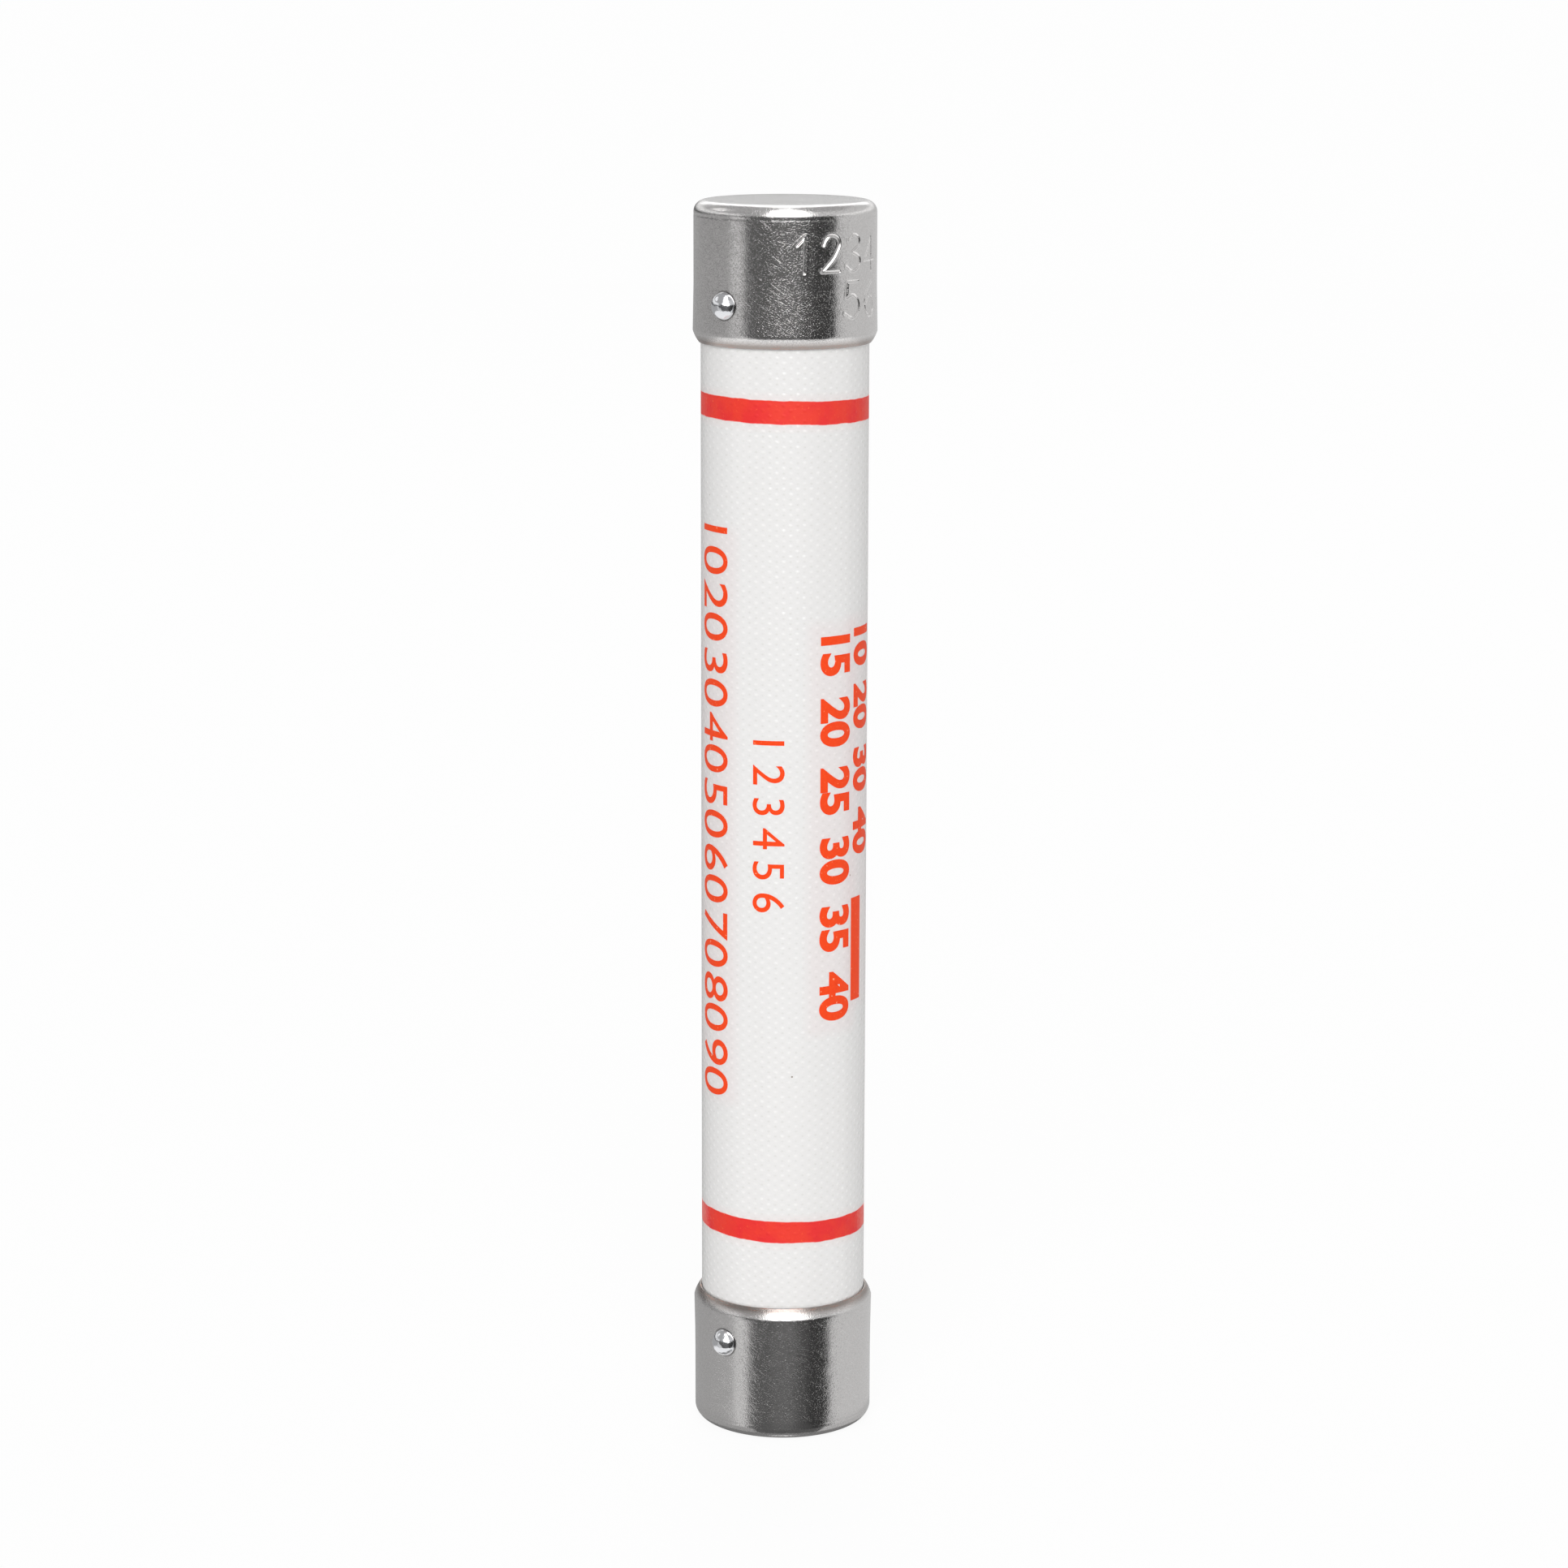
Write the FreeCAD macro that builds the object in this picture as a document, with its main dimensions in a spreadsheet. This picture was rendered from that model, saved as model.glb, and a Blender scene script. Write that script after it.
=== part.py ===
# Medium voltage control fuse with pinned ferrules, modelled in millimetres.
#
# The fuse stands on its bottom ferrule. The origin is the middle of that ferrule's flat end,
# +Z runs along the fuse, and the drive pins lie along Y, the front ones on the -Y side.
# A glass cloth tube carries a drawn ferrule on each end. Inside it a silver ribbon is wound
# round a notched ceramic star, packed in quartz sand, and led out to both ferrules.

import FreeCAD, Part

import math
import os

import Sketcher
from FreeCAD import Placement, Rotation, Vector

SIZES = [
    ("overall_length", "142.875", "fuse, from closed end to closed end"),
    ("tube_diameter", "19.05", "glass cloth tube, outside"),
    ("tube_wall", "2.38", "glass cloth tube, wall"),
    ("tube_chamfer", "0.4", "outer edge of each tube rim"),
    ("ferrule_length", "15.875", "ferrule, from closed end to mouth"),
    ("ferrule_wall", "0.725", "drawn metal of the ferrule"),
    ("ferrule_clearance", "0.07", "radial room between tube and ferrule"),
    ("corner_radius", "1.35", "outer corner of the closed end"),
    ("grip_end", "9.4", "end of the straight wall that fuse clips hold, from the closed end"),
    ("lip_flare", "0.1", "how far the wall flares out towards the mouth"),
    ("bevel_height", "1.3", "height of the bevel that closes the mouth on the tube"),
    ("bevel_crown", "4.0", "radius of the bevel's convex face"),
    ("edge_thickness", "0.16", "cut edge left at the mouth"),
    ("pin_height", "11.2", "axis of the drive pins, from the closed end"),
    ("pin_diameter", "1.6", "drive pin shank"),
    ("pin_tip_room", "0.175", "tube wall left between the drive pin's tip and the bore"),
    ("pin_chamfer", "0.25", "lead-in at the pin tip"),
    ("pin_clearance", "0.02", "radial room round the shank"),
    ("head_diameter", "3.14", "drive pin head"),
    ("head_height", "1.38", "crown of the head above the ferrule wall"),
    ("head_edge", "0.12", "straight edge under the crown"),
    ("head_seat", "0.2", "depth by which the head's underside is formed to the wall"),
    ("gasket_thickness", "0.8", "washer between tube rim and ferrule"),
    ("disc_recess", "1.0", "closing disc, below the tube rim"),
    ("disc_thickness", "1.6", "closing disc"),
    ("disc_seat", "0.755", "counterbore for the closing disc, into the tube's wall"),
    ("disc_clearance", "0.05", "radial room round the closing disc"),
    ("fill_hole_diameter", "3.0", "sand filling hole in the top closing disc"),
    ("fill_hole_margin", "2.85", "from the filling hole to the edge of the closing disc"),
    ("plug_clearance", "0.04", "radial room round the filling plug"),
    ("plug_flange", "0.7", "plug flange, beyond its shank all round"),
    ("plug_flange_thickness", "0.6", "plug flange"),
    ("strap_width", "3.0", "copper lead strap"),
    ("strap_thickness", "0.3", "copper lead strap"),
    ("strap_bend", "0.25", "inside radius of the strap's bends"),
    ("strap_offset", "3.3", "inner face of the strap's riser, from the fuse axis"),
    ("strap_foot_tip", "0.3", "free ends of the strap's feet, from the fuse axis"),
    ("slot_clearance", "0.1", "room round the strap in the closing disc"),
    ("solder_thickness", "0.25", "solder between strap and ferrule"),
    ("solder_radius", "1.4", "spread of that solder"),
    ("clip_thickness", "0.4", "stamped core clip"),
    ("clip_tab_clearance", "0.14", "room beside the clip's tab in its valley of the star"),
    ("core_room", "2.395", "from the rib tips of the ceramic star to the tube's bore"),
    ("core_hub_diameter", "4.4", "ceramic star, hub"),
    ("rib_thickness", "1.2", "ceramic star, ribs"),
    ("rib_count", "6", "ceramic star, ribs"),
    ("notch_depth", "0.5", "notches in the rib tips"),
    ("ribbon_width", "0.8", "silver ribbon"),
    ("ribbon_thickness", "0.12", "silver ribbon"),
    ("ribbon_clearance", "0.02", "room between ribbon and notch floor"),
    ("notch_clearance", "0.1", "room beside the ribbon in a notch"),
    ("winding_margin", "6.0", "first crossing of the ribbon, from the end of the core"),
    ("winding_turns", "15", "turns of the ribbon"),
    ("ribbon_tail", "0.85", "share of a valley that each ribbon tail spans"),
    ("bead_radius", "0.36", "low melting alloy bead on the ribbon"),
    ("sand_clearance", "0.55", "from the rib tips to the sand column"),
]

# Heights are measured from the closed end of the ferrule, and radii from the fuse axis.
TUBE_RADIUS = "(Sizes.tube_diameter / 2)"
BORE_RADIUS = f"({TUBE_RADIUS} - Sizes.tube_wall)"
FERRULE_BORE_RADIUS = f"({TUBE_RADIUS} + Sizes.ferrule_clearance)"
FERRULE_RADIUS = f"({FERRULE_BORE_RADIUS} + Sizes.ferrule_wall)"
INNER_CORNER = "(Sizes.corner_radius - Sizes.ferrule_wall)"
TUBE_START = "(Sizes.ferrule_wall + Sizes.gasket_thickness)"
DISC_START = f"({TUBE_START} + Sizes.disc_recess)"
DISC_END = f"({DISC_START} + Sizes.disc_thickness)"
SEAT_RADIUS = f"({BORE_RADIUS} + Sizes.disc_seat)"
DISC_RADIUS = f"({SEAT_RADIUS} - Sizes.disc_clearance)"
FILL_HOLE_RADIUS = "(Sizes.fill_hole_diameter / 2)"
FILL_HOLE_OFFSET = f"({DISC_RADIUS} - Sizes.fill_hole_margin - {FILL_HOLE_RADIUS})"
CLIP_START = f"({DISC_END} + Sizes.strap_thickness)"
CORE_START = f"({CLIP_START} + Sizes.clip_thickness)"
WINDING_START = f"({CORE_START} + Sizes.winding_margin)"
PIN_RADIUS = "(Sizes.pin_diameter / 2)"
PIN_HOLE_RADIUS = f"({PIN_RADIUS} + Sizes.pin_clearance)"
PIN_DEPTH = (
    "(Sizes.ferrule_wall + Sizes.ferrule_clearance + Sizes.tube_wall - Sizes.pin_tip_room)"
)
CORE_TIP_RADIUS = f"({BORE_RADIUS} - Sizes.core_room)"
NOTCH_FLOOR_RADIUS = f"({CORE_TIP_RADIUS} - Sizes.notch_depth)"
SAND_INNER_RADIUS = f"({CORE_TIP_RADIUS} + Sizes.sand_clearance)"
HALF_RIB_ANGLE = "(180 deg / Sizes.rib_count)"
RIBBON_ON_RIB = f"({NOTCH_FLOOR_RADIUS} + Sizes.ribbon_clearance)"
RIBBON_HALF_RIB = "(Sizes.rib_thickness / 2 + Sizes.ribbon_clearance)"
RIBBON_IN_VALLEY = (
    f"({RIBBON_ON_RIB} * cos({HALF_RIB_ANGLE}) + {RIBBON_HALF_RIB} * sin({HALF_RIB_ANGLE}))"
)
TAB_INNER_RADIUS = f"({RIBBON_IN_VALLEY} - Sizes.clip_thickness)"
HALF_VALLEY_AT_TAB = (
    f"({TAB_INNER_RADIUS} * tan({HALF_RIB_ANGLE})"
    f" - Sizes.rib_thickness / 2 / cos({HALF_RIB_ANGLE}))"
)

END_NAMES = ("bottom", "top")
FULL_TURN = 360.0

doc = FreeCAD.newDocument("control_fuse")
sheet = doc.addObject("Spreadsheet::Sheet", "Sizes")
for row, (alias, value, meaning) in enumerate(SIZES, start=1):
    sheet.set(f"A{row}", meaning)
    sheet.set(f"B{row}", value)
    sheet.setAlias(f"B{row}", alias)
doc.recompute()

nodes = []


def number(expression):
    """The value of an expression on the sizes."""
    result = sheet.evalExpression(expression)
    return float(getattr(result, "Value", result))


def keep(piece):
    """List a finished sub-part, which is written out under its label."""
    nodes.append(piece)
    return piece


def new_body(name):
    body = doc.addObject("PartDesign::Body", name)
    body.Label = name
    return body


def new_sketch(body, name, role):
    """A sketch on one of the body's own origin planes."""
    sketch = body.newObject("Sketcher::SketchObject", name)
    plane = next(part for part in body.Origin.OriginFeatures if part.Role == role)
    sketch.AttachmentSupport = [(plane, "")]
    sketch.MapMode = "FlatFace"
    return sketch


def fix_coordinate(sketch, kind, axis, geometry, end, expression):
    """Hold one coordinate of a sketch point at an expression, which may start with a minus."""
    if expression == "0":
        sketch.addConstraint(Sketcher.Constraint("PointOnObject", geometry, end, axis))
        return
    origin, point = (-1, 1), (geometry, end)
    first, second = (point, origin) if expression.startswith("-") else (origin, point)
    distance = expression.lstrip("-")
    index = sketch.addConstraint(Sketcher.Constraint(kind, *first, *second, number(distance)))
    sketch.setExpression(f"Constraints[{index}]", distance)


def fix_point(sketch, geometry, end, across, up):
    vertical_axis, horizontal_axis = -2, -1
    fix_coordinate(sketch, "DistanceX", vertical_axis, geometry, end, across)
    fix_coordinate(sketch, "DistanceY", horizontal_axis, geometry, end, up)


def bind_radius(sketch, geometry, expression):
    index = sketch.addConstraint(Sketcher.Constraint("Radius", geometry, number(expression)))
    sketch.setExpression(f"Constraints[{index}]", expression)


def arc_between(start, end, radius, left):
    """The shorter arc from start to end, turning left or right."""
    chord = end - start
    sideways = Vector(-chord.y, chord.x, 0).normalize() * (1 if left else -1)
    to_centre = math.sqrt(max(radius**2 - (chord.Length / 2) ** 2, 0.0))
    centre = (start + end) / 2 + sideways * to_centre
    first, last = (start, end) if left else (end, start)
    angles = [math.atan2(point.y - centre.y, point.x - centre.x) for point in (first, last)]
    return Part.ArcOfCircle(Part.Circle(centre, Vector(0, 0, 1), radius), *angles)


def draw_outline(sketch, corners):
    """A closed outline through corners (across, up), with (radius, "left" or "right") added
    where an arc leads on to the next corner."""
    points = [Vector(number(corner[0]), number(corner[1]), 0) for corner in corners]
    starts, ends = [], []
    for index, corner in enumerate(corners):
        start, end = points[index], points[(index + 1) % len(points)]
        if len(corner) == 2:
            geometry = sketch.addGeometry(Part.LineSegment(start, end))
            starts.append((geometry, 1))
            ends.append((geometry, 2))
        else:
            left = corner[3] == "left"
            arc = arc_between(start, end, number(corner[2]), left)
            geometry = sketch.addGeometry(arc)
            starts.append((geometry, 1 if left else 2))
            ends.append((geometry, 2 if left else 1))
            bind_radius(sketch, geometry, corner[2])
    for index, corner in enumerate(corners):
        sketch.addConstraint(Sketcher.Constraint("Coincident", *ends[index - 1], *starts[index]))
        fix_point(sketch, *starts[index], corner[0], corner[1])


def draw_circle(sketch, across, up, radius):
    centre = Vector(number(across), number(up), 0)
    circle = Part.Circle(centre, Vector(0, 0, 1), number(radius))
    geometry = sketch.addGeometry(circle)
    bind_radius(sketch, geometry, radius)
    fix_point(sketch, geometry, 3, across, up)


def draw_rectangle(sketch, low_across, high_across, half_width):
    """A rectangle that is centred on the sketch's horizontal axis."""
    draw_outline(sketch, [
        (low_across, f"-{half_width}"),
        (high_across, f"-{half_width}"),
        (high_across, half_width),
        (low_across, half_width),
    ])


def revolve(body, corners):
    """Turn a half section, drawn as radius and height, round the body's Z axis."""
    sketch = new_sketch(body, f"{body.Label}_section", "XZ_Plane")
    draw_outline(sketch, corners)
    turned = body.newObject("PartDesign::Revolution", f"{body.Label}_turned")
    turned.Profile = sketch
    turned.ReferenceAxis = (sketch, ["V_Axis"])
    turned.Angle = FULL_TURN
    sketch.Visibility = False
    return turned


def cut_through(body, sketch, name):
    """Pocket a sketch through the whole body, on both sides of its plane."""
    pocket = body.newObject("PartDesign::Pocket", name)
    pocket.Profile = sketch
    pocket.Type = "ThroughAll"
    pocket.SideType = "Symmetric"
    return pocket


def pad(body, sketch, name, length, symmetric=False):
    padded = body.newObject("PartDesign::Pad", name)
    padded.Profile = sketch
    padded.setExpression("Length", length)
    padded.SideType = "Symmetric" if symmetric else "One side"
    return padded


def place_at_end(piece, end):
    """Pieces are drawn for the bottom end, and those of the top end are turned over."""
    if end == "top":
        piece.Placement = Placement(Vector(0, 0, 0), Rotation(Vector(1, 0, 0), FULL_TURN / 2))
        piece.setExpression(".Placement.Base.z", "Sizes.overall_length")
    return piece


def make_tube():
    """Glass cloth tube with a counterbore in each rim and two drilled holes near each end."""
    body = new_body("fuse_tube")
    length = f"(Sizes.overall_length - 2 * {TUBE_START})"
    seat_depth = "(Sizes.disc_recess + Sizes.disc_thickness)"
    rim_radius = f"({TUBE_RADIUS} - Sizes.tube_chamfer)"
    revolve(body, [
        (BORE_RADIUS, seat_depth),
        (SEAT_RADIUS, seat_depth),
        (SEAT_RADIUS, "0"),
        (rim_radius, "0"),
        (TUBE_RADIUS, "Sizes.tube_chamfer"),
        (TUBE_RADIUS, f"({length} - Sizes.tube_chamfer)"),
        (rim_radius, length),
        (SEAT_RADIUS, length),
        (SEAT_RADIUS, f"({length} - {seat_depth})"),
        (BORE_RADIUS, f"({length} - {seat_depth})"),
    ])
    low_hole = f"(Sizes.pin_height - {TUBE_START})"
    sketch = new_sketch(body, "tube_pin_holes", "XZ_Plane")
    draw_circle(sketch, "0", low_hole, PIN_HOLE_RADIUS)
    draw_circle(sketch, "0", f"({length} - {low_hole})", PIN_HOLE_RADIUS)
    cut_through(body, sketch, "tube_pin_bores")
    body.setExpression(".Placement.Base.z", TUBE_START)
    return keep(body)


def make_ferrule(end):
    """Drawn cup: round corner, straight grip, slight flare and a bevel closed onto the tube."""
    body = new_body(f"{end}_ferrule")
    crease_radius = f"({FERRULE_RADIUS} + Sizes.lip_flare)"
    crease_height = "(Sizes.ferrule_length - Sizes.bevel_height)"
    revolve(body, [
        ("0", "0"),
        (f"({FERRULE_RADIUS} - Sizes.corner_radius)", "0", "Sizes.corner_radius", "left"),
        (FERRULE_RADIUS, "Sizes.corner_radius"),
        (FERRULE_RADIUS, "Sizes.grip_end"),
        (crease_radius, crease_height, "Sizes.bevel_crown", "left"),
        (f"({FERRULE_BORE_RADIUS} + Sizes.edge_thickness)", "Sizes.ferrule_length"),
        (FERRULE_BORE_RADIUS, "Sizes.ferrule_length"),
        (FERRULE_BORE_RADIUS, "Sizes.corner_radius"),
        (f"({FERRULE_BORE_RADIUS} - {INNER_CORNER})", "Sizes.ferrule_wall"),
        ("0", "Sizes.ferrule_wall"),
    ])
    sketch = new_sketch(body, f"{end}_ferrule_pin_holes", "XZ_Plane")
    draw_circle(sketch, "0", "Sizes.pin_height", PIN_HOLE_RADIUS)
    cut_through(body, sketch, f"{end}_ferrule_pin_bores")
    return keep(place_at_end(body, end))


def make_pin(end, side, ferrule):
    """Round-head drive pin, its head's underside formed to the ferrule that it holds."""
    name = f"{end}_ferrule_pin_{side}"
    blank = new_body(f"{name}_blank")
    head_radius = "(Sizes.head_diameter / 2)"
    crown = "(Sizes.head_height - Sizes.head_edge)"
    crown_radius = f"(({head_radius} ^ 2 + {crown} ^ 2) / (2 * {crown}))"
    under_head = f"({PIN_DEPTH} - Sizes.head_seat)"
    revolve(blank, [
        ("0", "0"),
        (f"({PIN_RADIUS} - Sizes.pin_chamfer)", "0"),
        (PIN_RADIUS, "Sizes.pin_chamfer"),
        (PIN_RADIUS, under_head),
        (head_radius, under_head),
        (head_radius, f"({PIN_DEPTH} + Sizes.head_edge)", crown_radius, "left"),
        ("0", f"({PIN_DEPTH} + Sizes.head_height)"),
    ])
    towards = -1 if side == "front" else 1
    outward = Vector(0, towards, 0)
    blank.Placement = Placement(Vector(0, 0, 0), Rotation(Vector(0, 0, 1), outward))
    tip_radius = f"({BORE_RADIUS} + Sizes.pin_tip_room)"
    blank.setExpression(".Placement.Base.y", f"{towards} * {tip_radius}")
    height = "Sizes.pin_height"
    if end == "top":
        height = f"(Sizes.overall_length - {height})"
    blank.setExpression(".Placement.Base.z", height)
    pin = doc.addObject("Part::Cut", name)
    pin.Label = name
    pin.Base = blank
    pin.Tool = ferrule
    return keep(pin)


def make_gasket(end):
    """Fibre washer that the tube rim presses onto the ferrule's floor, inside its corner."""
    body = new_body(f"{end}_gasket")
    outer_radius = f"({TUBE_RADIUS} - {INNER_CORNER})"
    revolve(body, [
        (BORE_RADIUS, "Sizes.ferrule_wall"),
        (outer_radius, "Sizes.ferrule_wall"),
        (outer_radius, TUBE_START),
        (BORE_RADIUS, TUBE_START),
    ])
    return keep(place_at_end(body, end))


def make_closing_disc(end):
    """Disc in the tube's counterbore, slotted for the strap. The top one has a filling hole."""
    body = new_body(f"{end}_closing_disc")
    revolve(body, [
        ("0", DISC_START),
        (DISC_RADIUS, DISC_START),
        (DISC_RADIUS, DISC_END),
        ("0", DISC_END),
    ])
    sketch = new_sketch(body, f"{end}_disc_openings", "XY_Plane")
    draw_rectangle(
        sketch,
        "(Sizes.strap_offset - Sizes.strap_bend - Sizes.slot_clearance)",
        "(Sizes.strap_offset + Sizes.strap_thickness + Sizes.slot_clearance)",
        "(Sizes.strap_width / 2 + Sizes.slot_clearance)",
    )
    if end == "top":
        draw_circle(sketch, f"-{FILL_HOLE_OFFSET}", "0", FILL_HOLE_RADIUS)
    cut_through(body, sketch, f"{end}_disc_cuts")
    return keep(place_at_end(body, end))


def make_fill_plug():
    """Flanged plug in the filling hole of the top closing disc."""
    body = new_body("fill_plug")
    shank_radius = f"({FILL_HOLE_RADIUS} - Sizes.plug_clearance)"
    flange_radius = f"({shank_radius} + Sizes.plug_flange)"
    flange_start = f"({DISC_START} - Sizes.plug_flange_thickness)"
    revolve(body, [
        ("0", flange_start),
        (flange_radius, flange_start),
        (flange_radius, DISC_START),
        (shank_radius, DISC_START),
        (shank_radius, DISC_END),
        ("0", DISC_END),
    ])
    place_at_end(body, "top")
    body.setExpression(".Placement.Base.x", f"-{FILL_HOLE_OFFSET}")
    return keep(body)


def make_lead_strap(end):
    """Copper strap bent into a C: one foot on the core clip, the other on the ferrule."""
    body = new_body(f"{end}_lead_strap")
    low = "(Sizes.ferrule_wall + Sizes.solder_thickness)"
    low_inside = f"({low} + Sizes.strap_thickness)"
    high = CLIP_START
    high_inside = DISC_END
    tip = "Sizes.strap_foot_tip"
    inside = "Sizes.strap_offset"
    outside = "(Sizes.strap_offset + Sizes.strap_thickness)"
    bend = "Sizes.strap_bend"
    outer_bend = "(Sizes.strap_bend + Sizes.strap_thickness)"
    sketch = new_sketch(body, f"{end}_strap_profile", "XZ_Plane")
    draw_outline(sketch, [
        (tip, low),
        (f"({outside} - {outer_bend})", low, outer_bend, "left"),
        (outside, f"({low} + {outer_bend})"),
        (outside, f"({high} - {outer_bend})", outer_bend, "left"),
        (f"({outside} - {outer_bend})", high),
        (tip, high),
        (tip, high_inside),
        (f"({inside} - {bend})", high_inside, bend, "right"),
        (inside, f"({high_inside} - {bend})"),
        (inside, f"({low_inside} + {bend})", bend, "right"),
        (f"({inside} - {bend})", low_inside),
        (tip, low_inside),
    ])
    pad(body, sketch, f"{end}_strap_bent", "Sizes.strap_width", symmetric=True)
    return keep(place_at_end(body, end))


def make_solder_joint(end):
    """Low button of solder that joins the strap's foot to the ferrule's floor."""
    body = new_body(f"{end}_solder_joint")
    top = "(Sizes.ferrule_wall + Sizes.solder_thickness)"
    revolve(body, [
        ("0", "Sizes.ferrule_wall"),
        ("Sizes.solder_radius", "Sizes.ferrule_wall"),
        ("(Sizes.solder_radius - Sizes.solder_thickness)", top),
        ("0", top),
    ])
    place_at_end(body, end)
    middle_of_foot = "((Sizes.strap_foot_tip + Sizes.strap_offset) / 2)"
    body.setExpression(".Placement.Base.x", middle_of_foot)
    return keep(body)


def make_core_clip(end):
    """Stamped clip: a disc on the core's end and a tab that reaches down one of its valleys."""
    body = new_body(f"{end}_core_clip")
    disc_sketch = new_sketch(body, f"{end}_clip_disc_outline", "XY_Plane")
    disc_sketch.setExpression(".AttachmentOffset.Base.z", CLIP_START)
    draw_circle(disc_sketch, "0", "0", CORE_TIP_RADIUS)
    pad(body, disc_sketch, f"{end}_clip_disc", "Sizes.clip_thickness")
    tab_sketch = new_sketch(body, f"{end}_clip_tab_outline", "XY_Plane")
    tab_sketch.setExpression(".AttachmentOffset.Base.z", CLIP_START)
    half_width = f"({HALF_VALLEY_AT_TAB} - Sizes.clip_tab_clearance)"
    draw_rectangle(tab_sketch, TAB_INNER_RADIUS, RIBBON_IN_VALLEY, half_width)
    pad(body, tab_sketch, f"{end}_clip_tab", f"({WINDING_START} - {CLIP_START})")
    place_at_end(body, end)
    in_valley = Rotation(Vector(0, 0, 1), -FULL_TURN / 2 / number("Sizes.rib_count"))
    body.Placement.Rotation = body.Placement.Rotation.multiply(in_valley)
    return keep(body)


def crossings():
    """Angle and height of the ribbon at each rib that it crosses, from the bottom up."""
    ribs = round(number("Sizes.rib_count"))
    count = ribs * round(number("Sizes.winding_turns"))
    low = number(WINDING_START)
    rise = (number("Sizes.overall_length") - 2 * low) / count
    return [(math.tau * index / ribs, low + rise * index) for index in range(count + 1)], rise


def make_core():
    """Ceramic star with a notch in its rib tips wherever the ribbon crosses."""
    body = new_body("element_core_star")
    length = f"(Sizes.overall_length - 2 * {CORE_START})"
    hub_sketch = new_sketch(body, "core_hub_outline", "XY_Plane")
    draw_circle(hub_sketch, "0", "0", "(Sizes.core_hub_diameter / 2)")
    pad(body, hub_sketch, "core_hub", length)
    rib_sketch = new_sketch(body, "core_rib_outline", "XY_Plane")
    draw_rectangle(rib_sketch, "0", CORE_TIP_RADIUS, "(Sizes.rib_thickness / 2)")
    rib = pad(body, rib_sketch, "core_rib", length)
    ribs = body.newObject("PartDesign::PolarPattern", "core_ribs")
    ribs.Originals = [rib]
    ribs.Axis = (rib_sketch, ["N_Axis"])
    ribs.Angle = FULL_TURN
    ribs.setExpression("Occurrences", "Sizes.rib_count")
    body.Tip = ribs
    body.setExpression(".Placement.Base.z", CORE_START)

    tall = number("Sizes.ribbon_width + 2 * Sizes.notch_clearance")
    wide = number("2 * Sizes.rib_thickness")
    deep = number("2 * Sizes.notch_depth")
    floor = number(NOTCH_FLOOR_RADIUS)
    cutters = []
    for angle, height in crossings()[0]:
        corner = Vector(floor, -wide / 2, height - tall / 2)
        cutter = Part.makeBox(deep, wide, tall, corner)
        cutter.rotate(Vector(0, 0, 0), Vector(0, 0, 1), math.degrees(angle))
        cutters.append(cutter)
    notches = doc.addObject("Part::Feature", "core_notches")
    notches.Shape = Part.makeCompound(cutters)
    core = doc.addObject("Part::Cut", "element_core")
    core.Label = "element_core"
    core.Base = body
    core.Tool = notches
    return keep(core)


def ribbon_plan(angle):
    """Plan points of the ribbon where it bends over a rib: inner pair, then outer four."""
    half_angle = math.pi / round(number("Sizes.rib_count"))
    on_rib, half_rib = number(RIBBON_ON_RIB), number(RIBBON_HALF_RIB)
    thick = number("Sizes.ribbon_thickness")
    outward = Vector(math.cos(angle), math.sin(angle), 0)
    onward = Vector(-math.sin(angle), math.cos(angle), 0)
    before = Vector(math.cos(angle - half_angle), math.sin(angle - half_angle), 0) * thick
    after = Vector(math.cos(angle + half_angle), math.sin(angle + half_angle), 0) * thick
    first = outward * on_rib - onward * half_rib
    last = outward * on_rib + onward * half_rib
    mitre = onward * (thick * math.tan(half_angle / 2))
    outer_last = last + outward * thick + mitre
    outer_first = first + outward * thick - mitre
    return [first, last, last + after, outer_last, outer_first, first + before]


def ribbon_span(inner, outer, low, width, run):
    """A straight stretch of ribbon that leaves the plan points inner and outer along run."""
    up = Vector(0, 0, width)
    base = Vector(0, 0, low)
    ends = [inner + base, outer + base, outer + base + up, inner + base + up]
    return Part.Face(Part.makePolygon([*ends, ends[0]])).extrude(run)


def make_element():
    """Silver ribbon wound up the star: level over each rib, climbing across each valley."""
    width = number("Sizes.ribbon_width")
    tail_share = number("Sizes.ribbon_tail")
    path, rise = crossings()
    pieces = []
    for index, (angle, height) in enumerate(path):
        plan = ribbon_plan(angle)
        low = height - width / 2
        bent = [point + Vector(0, 0, low) for point in plan]
        bend = Part.Face(Part.makePolygon([*bent, bent[0]])).extrude(Vector(0, 0, width))
        pieces.append(bend)
        following = ribbon_plan(angle + math.tau / round(number("Sizes.rib_count")))
        run = following[0] - plan[1] + Vector(0, 0, rise)
        if index == len(path) - 1:
            run = run * tail_share
        pieces.append(ribbon_span(plan[1], plan[2], low, width, run))
        if index == 0:
            previous = ribbon_plan(angle - math.tau / round(number("Sizes.rib_count")))
            back = (previous[1] - plan[0] - Vector(0, 0, rise)) * tail_share
            pieces.append(ribbon_span(plan[0], plan[5], low, width, back))
    element = doc.addObject("Part::Feature", "fuse_element")
    element.Label = "fuse_element"
    element.Shape = pieces[0].multiFuse(pieces[1:])
    return keep(element)


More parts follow.
